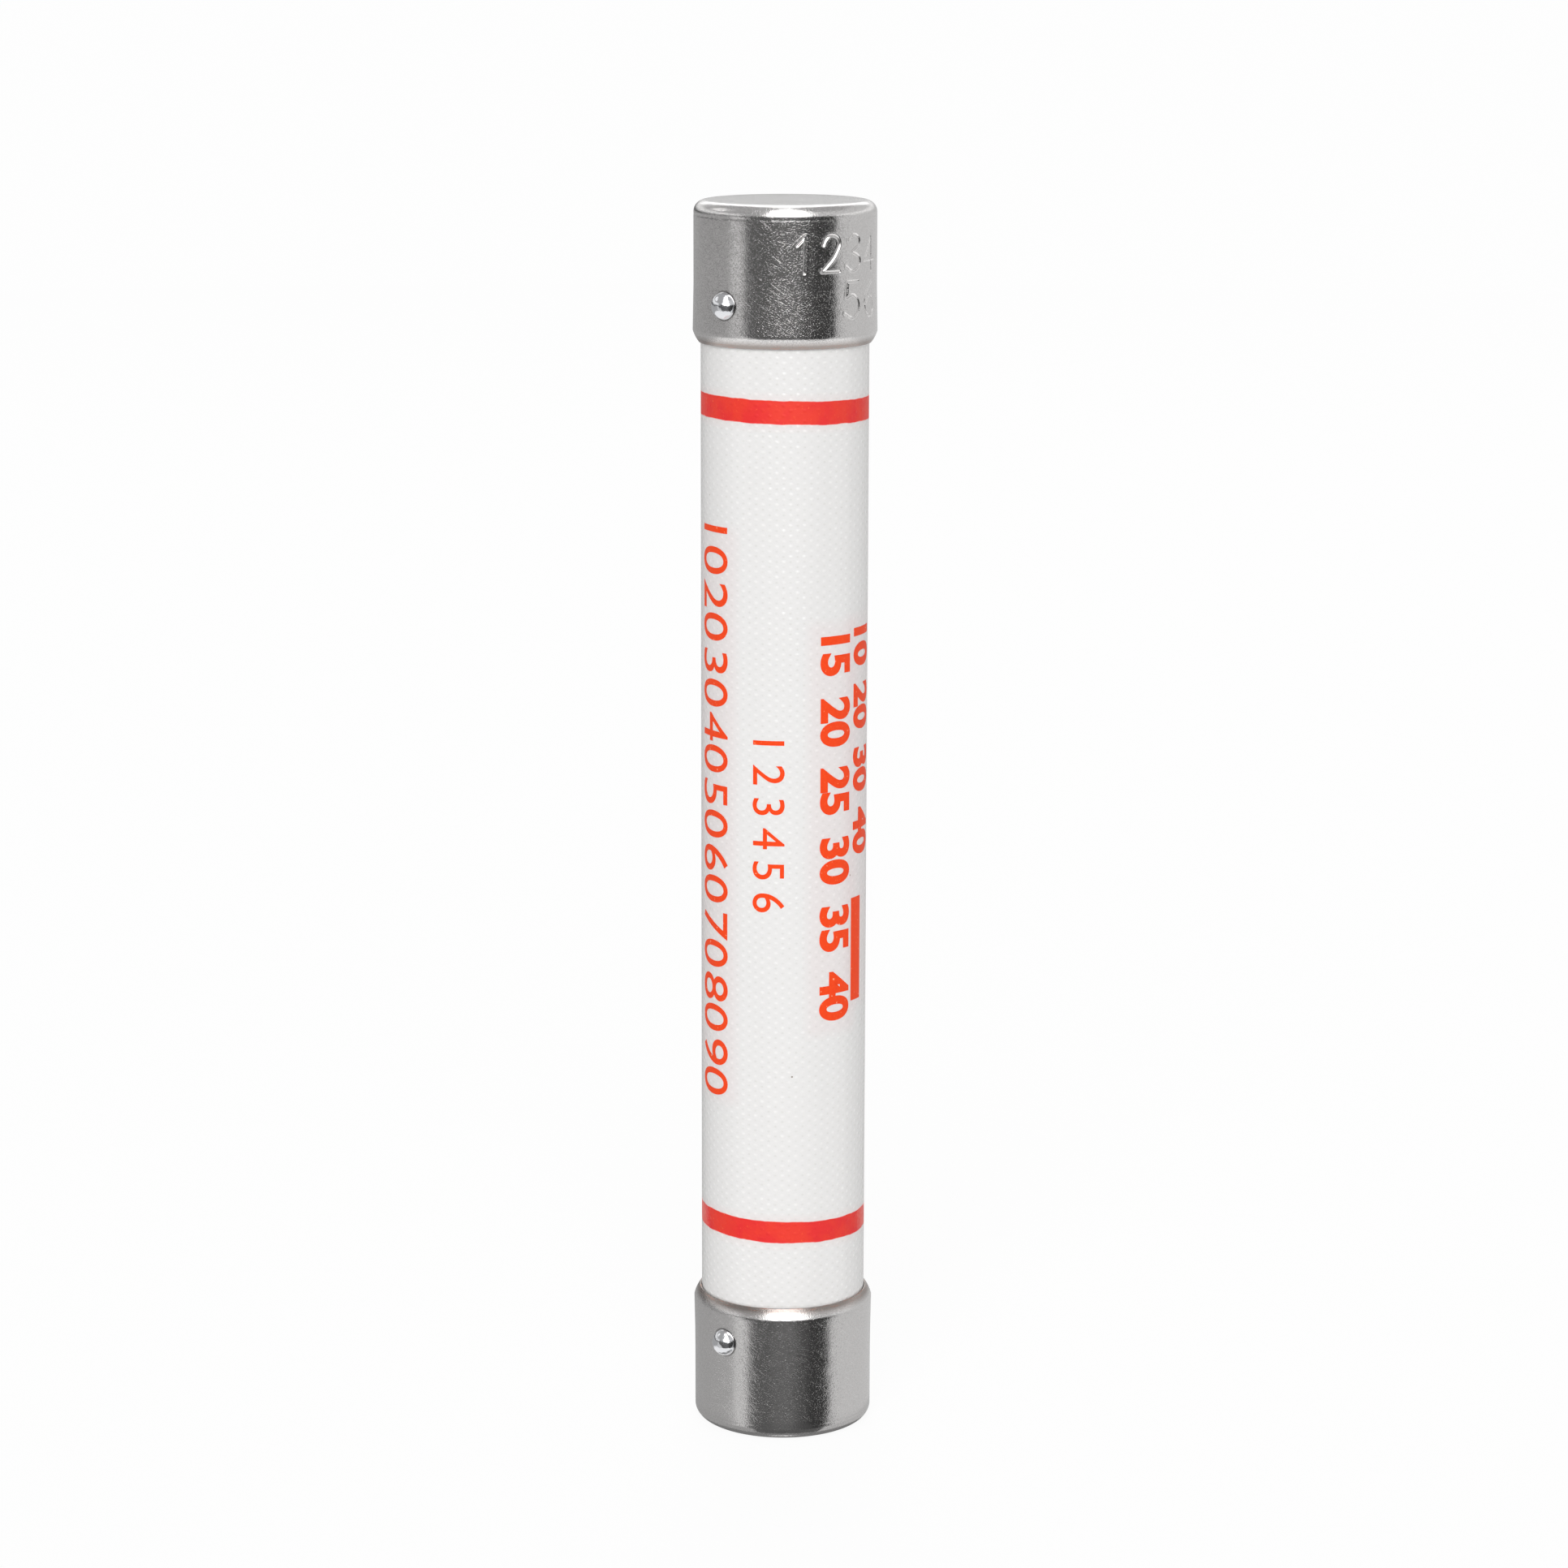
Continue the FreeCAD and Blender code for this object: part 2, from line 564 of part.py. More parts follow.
def make_bead():
    """Drop of low melting alloy on the ribbon, in a valley at the middle of the winding."""
    path = crossings()[0]
    middle = (len(path) - 1) // 2
    valley_angle = path[middle][0] + math.radians(number(HALF_RIB_ANGLE))
    outward = Vector(math.cos(valley_angle), math.sin(valley_angle), 0)
    height = (path[middle][1] + path[middle + 1][1]) / 2
    bead = doc.addObject("Part::Sphere", "alloy_bead")
    bead.Label = "alloy_bead"
    bead.setExpression("Radius", "Sizes.bead_radius")
    bead.Angle1 = 0
    radius = number(f"{RIBBON_IN_VALLEY} + Sizes.ribbon_thickness")
    seat = outward * radius + Vector(0, 0, height)
    bead.Placement = Placement(seat, Rotation(Vector(0, 0, 1), outward))
    return keep(bead)


def make_sand():
    """Quartz sand column between the winding and the tube, from disc to disc."""
    body = new_body("sand_filler")
    top = f"(Sizes.overall_length - {DISC_END})"
    revolve(body, [
        (SAND_INNER_RADIUS, DISC_END),
        (BORE_RADIUS, DISC_END),
        (BORE_RADIUS, top),
        (SAND_INNER_RADIUS, top),
    ])
    return keep(body)


make_tube()
for end_name in END_NAMES:
    cup = make_ferrule(end_name)
    for side_name in ("front", "back"):
        make_pin(end_name, side_name, cup)
    make_gasket(end_name)
    make_closing_disc(end_name)
    make_lead_strap(end_name)
    make_solder_joint(end_name)
    make_core_clip(end_name)
make_fill_plug()
make_core()
make_element()
make_bead()
make_sand()

doc.recompute()
for item in doc.Objects:
    if "Invalid" in item.State or "Error" in item.State:
        raise RuntimeError(f"{item.Label} failed: {item.State}")
for node in nodes:
    if node.Shape.isNull() or not node.Shape.isValid() or not node.Shape.Solids:
        raise RuntimeError(f"{node.Label} has no valid shape")

os.makedirs("parts", exist_ok=True)
for node in nodes:
    node.Shape.exportStep(f"parts/{node.Label}.step")
    shape = node.Shape
    print(f"{node.Label}: {len(shape.Solids)} solid, {len(shape.Faces)} faces, {shape.Volume:.2f} mm3")
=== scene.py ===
# %% [markdown]
# # A pinned control fuse, dressed for its picture
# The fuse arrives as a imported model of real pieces: a glass cloth tube, a drawn ferrule on each
# end, drive pins, and the wound element with its sand inside. This lesson keeps every piece where
# it is and gives it its finish. Where a surface is mirror-like, or carries marks that the model
# leaves out, the piece is shaped again here, at the same place and size.

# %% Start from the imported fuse
import math
import random

import bpy
from mathutils import Matrix, Vector


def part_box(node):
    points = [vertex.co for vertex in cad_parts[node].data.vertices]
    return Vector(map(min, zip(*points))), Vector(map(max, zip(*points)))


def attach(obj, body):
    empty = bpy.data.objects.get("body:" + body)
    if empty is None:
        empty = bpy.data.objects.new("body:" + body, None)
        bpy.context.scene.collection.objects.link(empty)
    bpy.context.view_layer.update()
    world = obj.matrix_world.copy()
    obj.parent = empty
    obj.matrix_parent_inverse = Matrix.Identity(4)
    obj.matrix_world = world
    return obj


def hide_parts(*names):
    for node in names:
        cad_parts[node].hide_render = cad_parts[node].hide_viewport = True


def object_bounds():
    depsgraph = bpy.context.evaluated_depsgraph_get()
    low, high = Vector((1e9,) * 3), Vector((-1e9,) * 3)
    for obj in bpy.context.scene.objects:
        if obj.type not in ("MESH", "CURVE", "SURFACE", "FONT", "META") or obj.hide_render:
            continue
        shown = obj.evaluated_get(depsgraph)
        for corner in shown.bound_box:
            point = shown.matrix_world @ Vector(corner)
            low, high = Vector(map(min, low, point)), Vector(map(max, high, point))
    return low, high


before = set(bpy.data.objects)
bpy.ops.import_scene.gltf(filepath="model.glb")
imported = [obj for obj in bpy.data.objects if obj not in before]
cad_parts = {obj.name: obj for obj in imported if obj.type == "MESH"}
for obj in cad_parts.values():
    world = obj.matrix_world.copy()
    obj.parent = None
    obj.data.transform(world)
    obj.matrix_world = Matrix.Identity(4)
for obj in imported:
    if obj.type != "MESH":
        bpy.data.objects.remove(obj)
cad_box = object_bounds()
bpy.ops.object.select_all(action="DESELECT")
MM = 0.001
WELD = 1e-7
print("pieces in the packed fuse:", len(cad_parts))

# %% [markdown]
# ## Sizes
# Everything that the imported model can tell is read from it: how long the fuse is, how thick the
# tube and the ferrules are, how high a drive pin sits. Only the small forms of the pressed metal,
# which a box round a piece can't tell, are written down again.

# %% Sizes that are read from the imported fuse, and the small forms of the ferrule
FUSE_LENGTH = cad_box[1].z - cad_box[0].z
TUBE_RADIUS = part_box("fuse_tube")[1].x
CREASE_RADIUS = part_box("bottom_ferrule")[1].x
FERRULE_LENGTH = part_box("bottom_ferrule")[1].z
pin_low, pin_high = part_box("bottom_ferrule_pin_front")
PIN_HEIGHT = (pin_low.z + pin_high.z) / 2
PIN_HEAD_RADIUS = pin_high.x
PIN_REACH = -pin_low.y
PIN_TIP = -pin_high.y

WALL = 0.725 * MM
LIP_FLARE = 0.1 * MM
WALL_RADIUS = CREASE_RADIUS - LIP_FLARE
BORE_RADIUS = WALL_RADIUS - WALL
CORNER_RADIUS = 1.35 * MM
GRIP_END = 9.4 * MM
BEVEL_HEIGHT = 1.3 * MM
CREASE_HEIGHT = FERRULE_LENGTH - BEVEL_HEIGHT
BEVEL_CROWN = 4.0 * MM
CUT_EDGE = 0.16 * MM
PIN_SHANK_RADIUS = 0.8 * MM
PIN_HOLE_RADIUS = 0.82 * MM
print("fuse length in mm:", round(FUSE_LENGTH / MM, 3))

# %% [markdown]
# ## Where the picture is taken from
# The camera stands half a metre from the fuse, a little above its top end and looking down, so
# that the flat top shows as a thin ellipse and both ferrules curve downwards at the front. It is
# a long lens, as for a product picture. All places round the fuse are counted from the side that
# faces this camera, so that a mark can be put a certain way round to its right or left.

# %% The camera
CAMERA_AZIMUTH = math.radians(40.9)
CAMERA_DISTANCE = 0.4878
CAMERA_HEIGHT = 0.1769
CAMERA_PITCH = math.radians(11.69)
CAMERA_ROLL = math.radians(0.14)
LENS_MM = 99.28
SENSOR_MM = 36
FACING = CAMERA_AZIMUTH - math.pi / 2

bpy.ops.object.camera_add()
camera = bpy.context.object
camera.name = "picture_camera"
camera.data.lens = LENS_MM
camera.data.sensor_width = SENSOR_MM
camera.data.clip_start = 0.01
camera.matrix_world = (
    Matrix.Translation((
        math.sin(CAMERA_AZIMUTH) * CAMERA_DISTANCE,
        -math.cos(CAMERA_AZIMUTH) * CAMERA_DISTANCE,
        CAMERA_HEIGHT,
    ))
    @ Matrix.Rotation(CAMERA_AZIMUTH, 4, "Z")
    @ Matrix.Rotation(math.pi / 2 - CAMERA_PITCH, 4, "X")
    @ Matrix.Rotation(CAMERA_ROLL, 4, "Z")
)
bpy.context.scene.camera = camera
bpy.context.scene.view_settings.view_transform = "Standard"


def round_the_fuse(angle, radius, height):
    """A point at an angle to the right of the side that faces the camera."""
    return Vector((
        radius * math.cos(FACING + angle),
        radius * math.sin(FACING + angle),
        height,
    ))


# %% [markdown]
# ## Two helpers for materials
# A colour is picked on a screen as an sRGB hex value, but shaders add up light, so they want the
# linear value behind it. And a node tree reads best when each node is one line: its kind, which is
# its type in Blender without the word ShaderNode, what goes into it, and its settings.

# %% Colours and nodes
def srgb(hex_colour):
    """The linear RGBA of an sRGB hex colour such as "C9C7C2"."""
    linear = []
    for start in (0, 2, 4):
        channel = int(hex_colour[start:start + 2], 16) / 255
        low = channel <= 0.04045
        linear.append(channel / 12.92 if low else ((channel + 0.055) / 1.055) ** 2.4)
    return (*linear, 1.0)


def add(tree, kind, inputs=None, **settings):
    """Add a node. Each input gets a value, or the output of another node."""
    node = tree.nodes.new(f"ShaderNode{kind}")
    for name, value in settings.items():
        setattr(node, name, value)
    for name, value in (inputs or {}).items():
        if isinstance(value, bpy.types.NodeSocket):
            tree.links.new(value, node.inputs[name])
        else:
            node.inputs[name].default_value = value
    return node


def new_material(name):
    material = bpy.data.materials.new(name)
    material.use_nodes = True
    return material, material.node_tree, material.node_tree.nodes["Principled BSDF"]


def unrolled(tree, radius):
    """The way round the fuse and the height along it, in millimetres, as two outputs."""
    place = add(tree, "TexCoord").outputs["Object"]
    x, y, z = add(tree, "SeparateXYZ", {0: place}).outputs
    turn = add(tree, "Math", {0: y, 1: x}, operation="ARCTAN2").outputs[0]
    around = add(tree, "Math", {0: turn, 1: radius / MM}, operation="MULTIPLY").outputs[0]
    along = add(tree, "Math", {0: z, 1: 1 / MM}, operation="MULTIPLY").outputs[0]
    return around, along


def wear(node_name, material):
    """Give a CAD piece its finish in place of the plain one that it came with."""
    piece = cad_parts[node_name]
    piece.data.materials.clear()
    piece.data.materials.append(material)


# %% [markdown]
# ## Tinned, drawn copper alloy: the ferrules
# A ferrule is punched from copper alloy strip, drawn into a cup and barrel plated with tin.
# Tumbling in the plating barrel leaves it satin: a fine grain, with knocks strewn over it that
# are deeper than the rest, and fine scratches that run across it at a slant. The eye sees a grey
# mirror, a little mottled, that sparkles where it reflects something dark. The knocks are a bump
# and not a colour, because on the real part they only tilt the mirror. The roller that closed the
# mouth left it duller, and rubbed the tin off in streaks, where the copper alloy shows. Towards
# the cut edge the colour is darkened, as painted shade next to the tube. Where a pin head meets
# the wall, a dark ring round it is painted shade in the seam.

# %% The marks in the tin
GRAIN_MM = 0.13
GRAIN_DEPTH_MM = 0.0105
KNOCK_MM = 0.15
KNOCK_DEPTH_MM = 0.0068
DENT_MM = 1.6
DENT_DEPTH_MM = 0.03
SCRATCH_LENGTH_MM = 2.6
SCRATCH_WIDTH_MM = 0.08
SCRATCH_SLANT = math.radians(-38)
SCRATCH_DEPTH_MM = 0.004
# painted shade: a dark ring round each pin head, where the head meets the wall
SEAM_SHADE_MM = 0.2
SEAM_SHADE_SHARE = 0.75


def tin_relief(tree, place, on_wall):
    """The normal that all the marks give, and two of the noises behind it."""
    grain, uneven, dents = [
        add(
            tree, "TexNoise",
            {"Vector": place, "Scale": 1 / (size_mm * MM), "Detail": detail, "Roughness": fineness,
             "Distortion": twist},
        ).outputs["Fac"]
        for size_mm, detail, fineness, twist in (
            (GRAIN_MM, 1.0, 0.6, 0.0), (KNOCK_MM, 1.5, 0.6, 0.4), (DENT_MM, 2.0, 0.5, 0.0),
        )
    ]
    knocks = add(
        tree, "MapRange", {"Value": uneven, "From Min": 0.53, "From Max": 0.72},
    ).outputs[0]
    slanted = add(
        tree, "Mapping",
        {"Vector": on_wall, "Rotation": (0, 0, SCRATCH_SLANT),
         "Scale": (SCRATCH_LENGTH_MM, SCRATCH_WIDTH_MM, 1)},
        vector_type="TEXTURE",
    ).outputs[0]
    lines = add(
        tree, "TexNoise", {"Vector": slanted, "Scale": 1.0, "Detail": 1.0},
    ).outputs["Fac"]
    scratches = add(
        tree, "MapRange", {"Value": lines, "From Min": 0.615, "From Max": 0.79},
    ).outputs[0]
    below = {}
    for height, depth_mm, sunk in (
        (dents, DENT_DEPTH_MM, False),
        (grain, GRAIN_DEPTH_MM, False),
        (knocks, KNOCK_DEPTH_MM, True),
        (scratches, SCRATCH_DEPTH_MM, True),
    ):
        marked = add(
            tree, "Bump", {"Height": height, "Distance": depth_mm * MM, **below}, invert=sunk,
        ).outputs[0]
        below = {"Normal": marked}
    return marked, uneven, dents


def pin_seams(tree, place, outwards):
    """How much painted shade a place on the wall gets near the edge of a pin head."""
    across = add(tree, "SeparateXYZ", {0: place}).outputs["X"]
    across_mm = add(tree, "Math", {0: across, 1: 1 / MM}, operation="MULTIPLY").outputs[0]
    above_pin = add(
        tree, "Math", {0: outwards, 1: (FUSE_LENGTH / 2 - PIN_HEIGHT) / MM}, operation="SUBTRACT",
    ).outputs[0]
    from_pin = add(tree, "CombineXYZ", {0: across_mm, 1: above_pin}).outputs[0]
    pin_distance = add(tree, "VectorMath", {0: from_pin}, operation="LENGTH").outputs["Value"]
    seam_shade = add(
        tree, "MapRange",
        {"Value": pin_distance, "From Min": PIN_HEAD_RADIUS / MM + SEAM_SHADE_MM,
         "From Max": PIN_HEAD_RADIUS / MM, "To Max": SEAM_SHADE_SHARE},
    ).outputs[0]
    return seam_shade


# %% The ferrule finish, put together
SMOOTHEST, ROUGHEST = 0.10, 0.15
ROLLED_ROUGHNESS = 0.22
STREAK_LENGTH_MM = 1.5
STREAK_WIDTH_MM = 0.14
STREAKS_END_MM, STREAKS_FULL_MM = 0.5, 0.2
# painted shade: the colour of the mouth is darkened towards the cut edge, next to the tube
MOUTH_SHADE_END_MM, MOUTH_SHADE_FULL_MM, MOUTH_SHADE_SHARE = 1.0, 0.3, 0.8
CREASE_BLEND_MM = 0.1


def make_tinned_alloy():
    material, tree, shader = new_material("tinned_copper_alloy")
    place = add(tree, "TexCoord").outputs["Object"]
    around, along = unrolled(tree, WALL_RADIUS)
    on_wall = add(tree, "CombineXYZ", {0: around, 1: along}).outputs[0]
    marked, uneven, dents = tin_relief(tree, place, on_wall)
    tree.links.new(marked, shader.inputs["Normal"])

    from_middle = add(
        tree, "Math", {0: along, 1: FUSE_LENGTH / 2 / MM}, operation="SUBTRACT",
    ).outputs[0]
    outwards = add(tree, "Math", {0: from_middle}, operation="ABSOLUTE").outputs[0]
    mouth = (FUSE_LENGTH / 2 - FERRULE_LENGTH) / MM
    crease = mouth + BEVEL_HEIGHT / MM
    # the third mask darkens the mouth towards the cut edge as painted shade; the first only sets
    # roughness
    rolled, at_mouth, mouth_shade = [
        add(
            tree, "MapRange",
            {"Value": outwards, "From Min": start, "From Max": full, "To Max": share},
        ).outputs[0]
        for start, full, share in (
            (crease, crease - CREASE_BLEND_MM, 1.0),
            (mouth + STREAKS_END_MM, mouth + STREAKS_FULL_MM, 1.0),
            (mouth + MOUTH_SHADE_END_MM, mouth + MOUTH_SHADE_FULL_MM, MOUTH_SHADE_SHARE),
        )
    ]
    satin = add(
        tree, "MapRange",
        {"Value": dents, "From Min": 0.3, "From Max": 0.7, "To Min": SMOOTHEST, "To Max": ROUGHEST},
    ).outputs[0]
    rough = add(tree, "Mix", {0: rolled, 2: satin, 3: ROLLED_ROUGHNESS}).outputs[0]
    tree.links.new(rough, shader.inputs["Roughness"])

    streak_place = add(
        tree, "Mapping",
        {"Vector": on_wall, "Scale": (1 / STREAK_LENGTH_MM, 1 / STREAK_WIDTH_MM, 1)},
    ).outputs[0]
    streaks = add(
        tree, "TexNoise", {"Vector": streak_place, "Scale": 1.0, "Detail": 2.0},
    ).outputs["Fac"]
    worn = add(
        tree, "MapRange", {"Value": streaks, "From Min": 0.52, "From Max": 0.68},
    ).outputs[0]
    bare = add(tree, "Math", {0: at_mouth, 1: worn}, operation="MULTIPLY").outputs[0]
    # the dark ring round each pin head is painted shade
    seam_shade = pin_seams(tree, place, outwards)
    mottled = add(
        tree, "MapRange", {"Value": uneven, "From Min": 0.3, "From Max": 0.7},
    ).outputs[0]
    colour = srgb("EBE9E8")
    # the first two tones are the tin's own mottling and bared copper; the last two are painted shade
    # at the mouth and round the pin heads
    for share, tone in (
        (mottled, "D9D7D6"), (mouth_shade, "8E827B"), (bare, "B5958A"), (seam_shade, "4A4540"),
    ):
        colour = add(
            tree, "Mix", {0: share, 6: colour, 7: srgb(tone)}, data_type="RGBA",
        ).outputs[2]
    tree.links.new(colour, shader.inputs["Base Color"])
    shader.inputs["Metallic"].default_value = 1.0
    return material


tinned_alloy = make_tinned_alloy()
print("made", tinned_alloy.name)

# %% [markdown]
# ## Bright plated steel: the drive pins
# A drive pin is cold headed from steel wire and bright plated, so its head is a small mirror,
# with the slightly uneven swell that the heading tool leaves.

# %% The pin finish
SWELL_MM = 0.8
SWELL_DEPTH_MM = 0.07


def make_plated_steel():
    material, tree, shader = new_material("bright_plated_steel")
    place = add(tree, "TexCoord").outputs["Object"]
    swell = add(
        tree, "TexNoise", {"Vector": place, "Scale": 1 / (SWELL_MM * MM), "Detail": 2.0},
    ).outputs["Fac"]
    uneven = add(
        tree, "Bump", {"Height": swell, "Distance": SWELL_DEPTH_MM * MM},
    ).outputs[0]
    tree.links.new(uneven, shader.inputs["Normal"])
    shader.inputs["Base Color"].default_value = srgb("E4E5E8")
    shader.inputs["Metallic"].default_value = 1.0
    shader.inputs["Roughness"].default_value = 0.16
    return material


plated_steel = make_plated_steel()
print("made", plated_steel.name)

# %% [markdown]
# ## Glass cloth laminate: the tube
# The tube is glass cloth wound on a mandrel with resin and cured. The plain weave shows through
# the clear resin: threads about 0.8 mm apart round the tube, and crossings every 0.58 mm along it
# that change sides from one thread to the next. Where a thread comes to the top it stands up as a
# small pale pillow that catches the light, and where it dives there is more resin, which looks
# like a faint dark dot. A few dark flecks were cured into the resin. The two red bands are brushed
# on while the tube turns, so they are part of the tube's own material. They dry duller than the
# resin, stand a little out of square, their edges wander, the ink is thin on two sides where the
# brush was set down and lifted, and it blushes the cloth. Where the numbers are printed, thinned
# ink has crept into the cloth between them and left it faintly pink.

# %% The weave
THREADS_AROUND = 76
CROSSING_MM = 0.585
PILLOW_MM = 0.043
THREAD_CROWN = 2.5
HOLLOW_CROWN = 6.0
LOOSEST = 0.4


def plain_weave(tree, around, along):
    """How high the threads stand, and how much resin lies between, as two outputs."""
    thread_mm = math.tau * TUBE_RADIUS / MM / THREADS_AROUND

    cells, pillows = [], []
    for distance, pitch in ((around, thread_mm), (along, CROSSING_MM)):
        counted = add(tree, "Math", {0: distance, 1: pitch}, operation="DIVIDE").outputs[0]
        cells.append(add(tree, "Math", {0: counted}, operation="FLOOR").outputs[0])
        halves = add(tree, "Math", {0: counted}, operation="FRACT").outputs[0]
        arch = add(tree, "Math", {0: halves, 1: math.pi}, operation="MULTIPLY").outputs[0]
        pillows.append(add(tree, "Math", {0: arch}, operation="SINE").outputs[0])
    cell_sum = add(tree, "Math", {0: cells[0], 1: cells[1]}, operation="ADD").outputs[0]
    half_sum = add(tree, "Math", {0: cell_sum, 1: 0.5}, operation="MULTIPLY").outputs[0]
    parity = add(tree, "Math", {0: half_sum}, operation="FRACT").outputs[0]
    on_top = add(tree, "Math", {0: parity, 1: 0.25}, operation="GREATER_THAN").outputs[0]
    under = add(tree, "Math", {0: 1.0, 1: on_top}, operation="SUBTRACT").outputs[0]
    arched = add(tree, "Math", {0: pillows[0], 1: pillows[1]}, operation="MULTIPLY").outputs[0]
    cell = add(tree, "CombineXYZ", {0: cells[0], 1: cells[1]}).outputs[0]
    chance = add(
        tree, "TexWhiteNoise", {"Vector": cell}, noise_dimensions="2D",
    ).outputs["Value"]
    tightness = add(tree, "MapRange", {"Value": chance, "To Min": LOOSEST}).outputs[0]
    shapes = []
    for crown, side in ((THREAD_CROWN, on_top), (HOLLOW_CROWN, under)):
        rounded = add(tree, "Math", {0: arched, 1: crown}, operation="POWER").outputs[0]
        there = add(tree, "Math", {0: rounded, 1: side}, operation="MULTIPLY").outputs[0]
        shapes.append(add(tree, "Math", {0: there, 1: tightness}, operation="MULTIPLY").outputs[0])
    return shapes


print("crossings in the cloth:", round(THREADS_AROUND * FUSE_LENGTH / MM / CROSSING_MM))

# %% The pink cloth between the numbers
# degrees round from the camera, half width, low edge and high edge of the pink cloth
PRINTED_MM = ((-59, 4.0, 40.0, 106.5), (38, 3.4, 48.5, 96.0), (67, 3.2, 51.0, 96.5))
PINK_OUT_MM, PINK_IN_MM, PINK_SHARE = 0.9, 0.6, 0.08


def pink_zones(tree, around, along):
    """One output for each printed column, 1 where the cloth is pink."""
    zones = []
    for degrees, half_width, low, high in PRINTED_MM:
        spread = []
        for distance, middle, reach in (
            (around, (FACING + math.radians(degrees)) * TUBE_RADIUS / MM, half_width),
            (along, (low + high) / 2, (high - low) / 2),
        ):
            offset = add(tree, "Math", {0: distance, 1: middle}, operation="SUBTRACT").outputs[0]
            away = add(tree, "Math", {0: offset}, operation="ABSOLUTE").outputs[0]
            spread.append(add(
                tree, "MapRange",
                {"Value": away, "From Min": reach + PINK_OUT_MM, "From Max": reach - PINK_IN_MM},
            ).outputs[0])
        halo = add(tree, "Math", {0: spread[0], 1: spread[1]}, operation="MULTIPLY").outputs[0]
        pink = add(tree, "Math", {0: halo, 1: PINK_SHARE}, operation="MULTIPLY").outputs[0]
        zones.append(pink)
    return zones


print("pink zones:", len(PRINTED_MM))

# %% The two brushed bands
# low edge, high edge, and how thin the ink is on two sides
BANDS_MM = ((118.66, 121.28, 0.2), (23.78, 26.31, 0.9))
BAND_SLOPE = math.tan(math.radians(-1.4))
BAND_WANDER_MM = 0.16
WANDER_MM = 2.4
SPECK_MM = 0.3
BAND_EDGE_MM = 0.05
BAND_ROUGHNESS = 0.6
THIN_START_MM, THIN_END_MM, THIN_SHARE = 9.1, 10.4, 0.5
BLUSH_MM, BLUSH_SHARE = 1.1, 0.10
BLOTCH_MM = 1.2
RESIN_ROUGHNESS = 0.2


def brush_bands(tree, place, along, wander, specks, colour):
    """The colour with both bands brushed over it, and the roughness of resin and ink."""
    centred = add(tree, "Math", {0: wander, 1: 0.5}, operation="SUBTRACT").outputs[0]
    sideways = add(
        tree, "VectorMath", {0: place, 1: round_the_fuse(math.pi / 2, 1 / MM, 0)},
        operation="DOT_PRODUCT",
    ).outputs["Value"]
    squared = add(
        tree, "Math", {0: sideways, 1: -BAND_SLOPE, 2: along}, operation="MULTIPLY_ADD",
    ).outputs[0]
    height = add(
        tree, "Math", {0: centred, 1: BAND_WANDER_MM * 2, 2: squared}, operation="MULTIPLY_ADD",
    ).outputs[0]
    patches = add(
        tree, "MapRange", {"Value": wander, "From Min": 0.42, "From Max": 0.62},
    ).outputs[0]
    bright = add(
        tree, "MapRange", {"Value": specks, "From Min": 0.64, "From Max": 0.78, "To Max": 0.4},
    ).outputs[0]
    full_ink = srgb("EC290C")
    for share, tone in ((patches, "E81414"), (bright, "FF6A2A")):
        full_ink = add(
            tree, "Mix", {0: share, 6: full_ink, 7: srgb(tone)}, data_type="RGBA",
        ).outputs[2]
    to_side = add(tree, "Math", {0: sideways}, operation="ABSOLUTE").outputs[0]
    blotchy = add(
        tree, "Math", {0: specks, 1: BLOTCH_MM, 2: to_side}, operation="MULTIPLY_ADD",
    ).outputs[0]
    lifted = add(
        tree, "MapRange",
        {"Value": blotchy, "From Min": THIN_START_MM, "From Max": THIN_END_MM,
         "To Max": THIN_SHARE},
    ).outputs[0]
    rough = RESIN_ROUGHNESS
    for low, high, thinness in BANDS_MM:
        middle, half = (low + high) / 2, (high - low) / 2
        thin = add(tree, "Math", {0: lifted, 1: thinness}, operation="MULTIPLY").outputs[0]
        ink = add(
            tree, "Mix", {0: thin, 6: full_ink, 7: srgb("F7BDB6")}, data_type="RGBA",
        ).outputs[2]
        offset = add(tree, "Math", {0: height, 1: middle}, operation="SUBTRACT").outputs[0]
        away = add(tree, "Math", {0: offset}, operation="ABSOLUTE").outputs[0]
        blush = add(
            tree, "MapRange",
            {"Value": away, "From Min": half + BLUSH_MM, "From Max": half, "To Max": BLUSH_SHARE},
        ).outputs[0]
        inked = add(
            tree, "MapRange",
            {"Value": away, "From Min": half + BAND_EDGE_MM, "From Max": half - BAND_EDGE_MM},
        ).outputs[0]
        for share, tone in ((blush, srgb("F2A8A0")), (inked, ink)):
            colour = add(
                tree, "Mix", {0: share, 6: colour, 7: tone}, data_type="RGBA",
            ).outputs[2]
        rough = add(tree, "Mix", {0: inked, 2: rough, 3: BAND_ROUGHNESS}).outputs[0]
    return colour, rough


print("bands:", len(BANDS_MM))

# %% The tube finish, put together
RESIN_MM = 0.5
RESIN_WAVE_MM = 0.012
FLECK_SPACING_MM = 5.5
FLECK_SHARE = 0.022


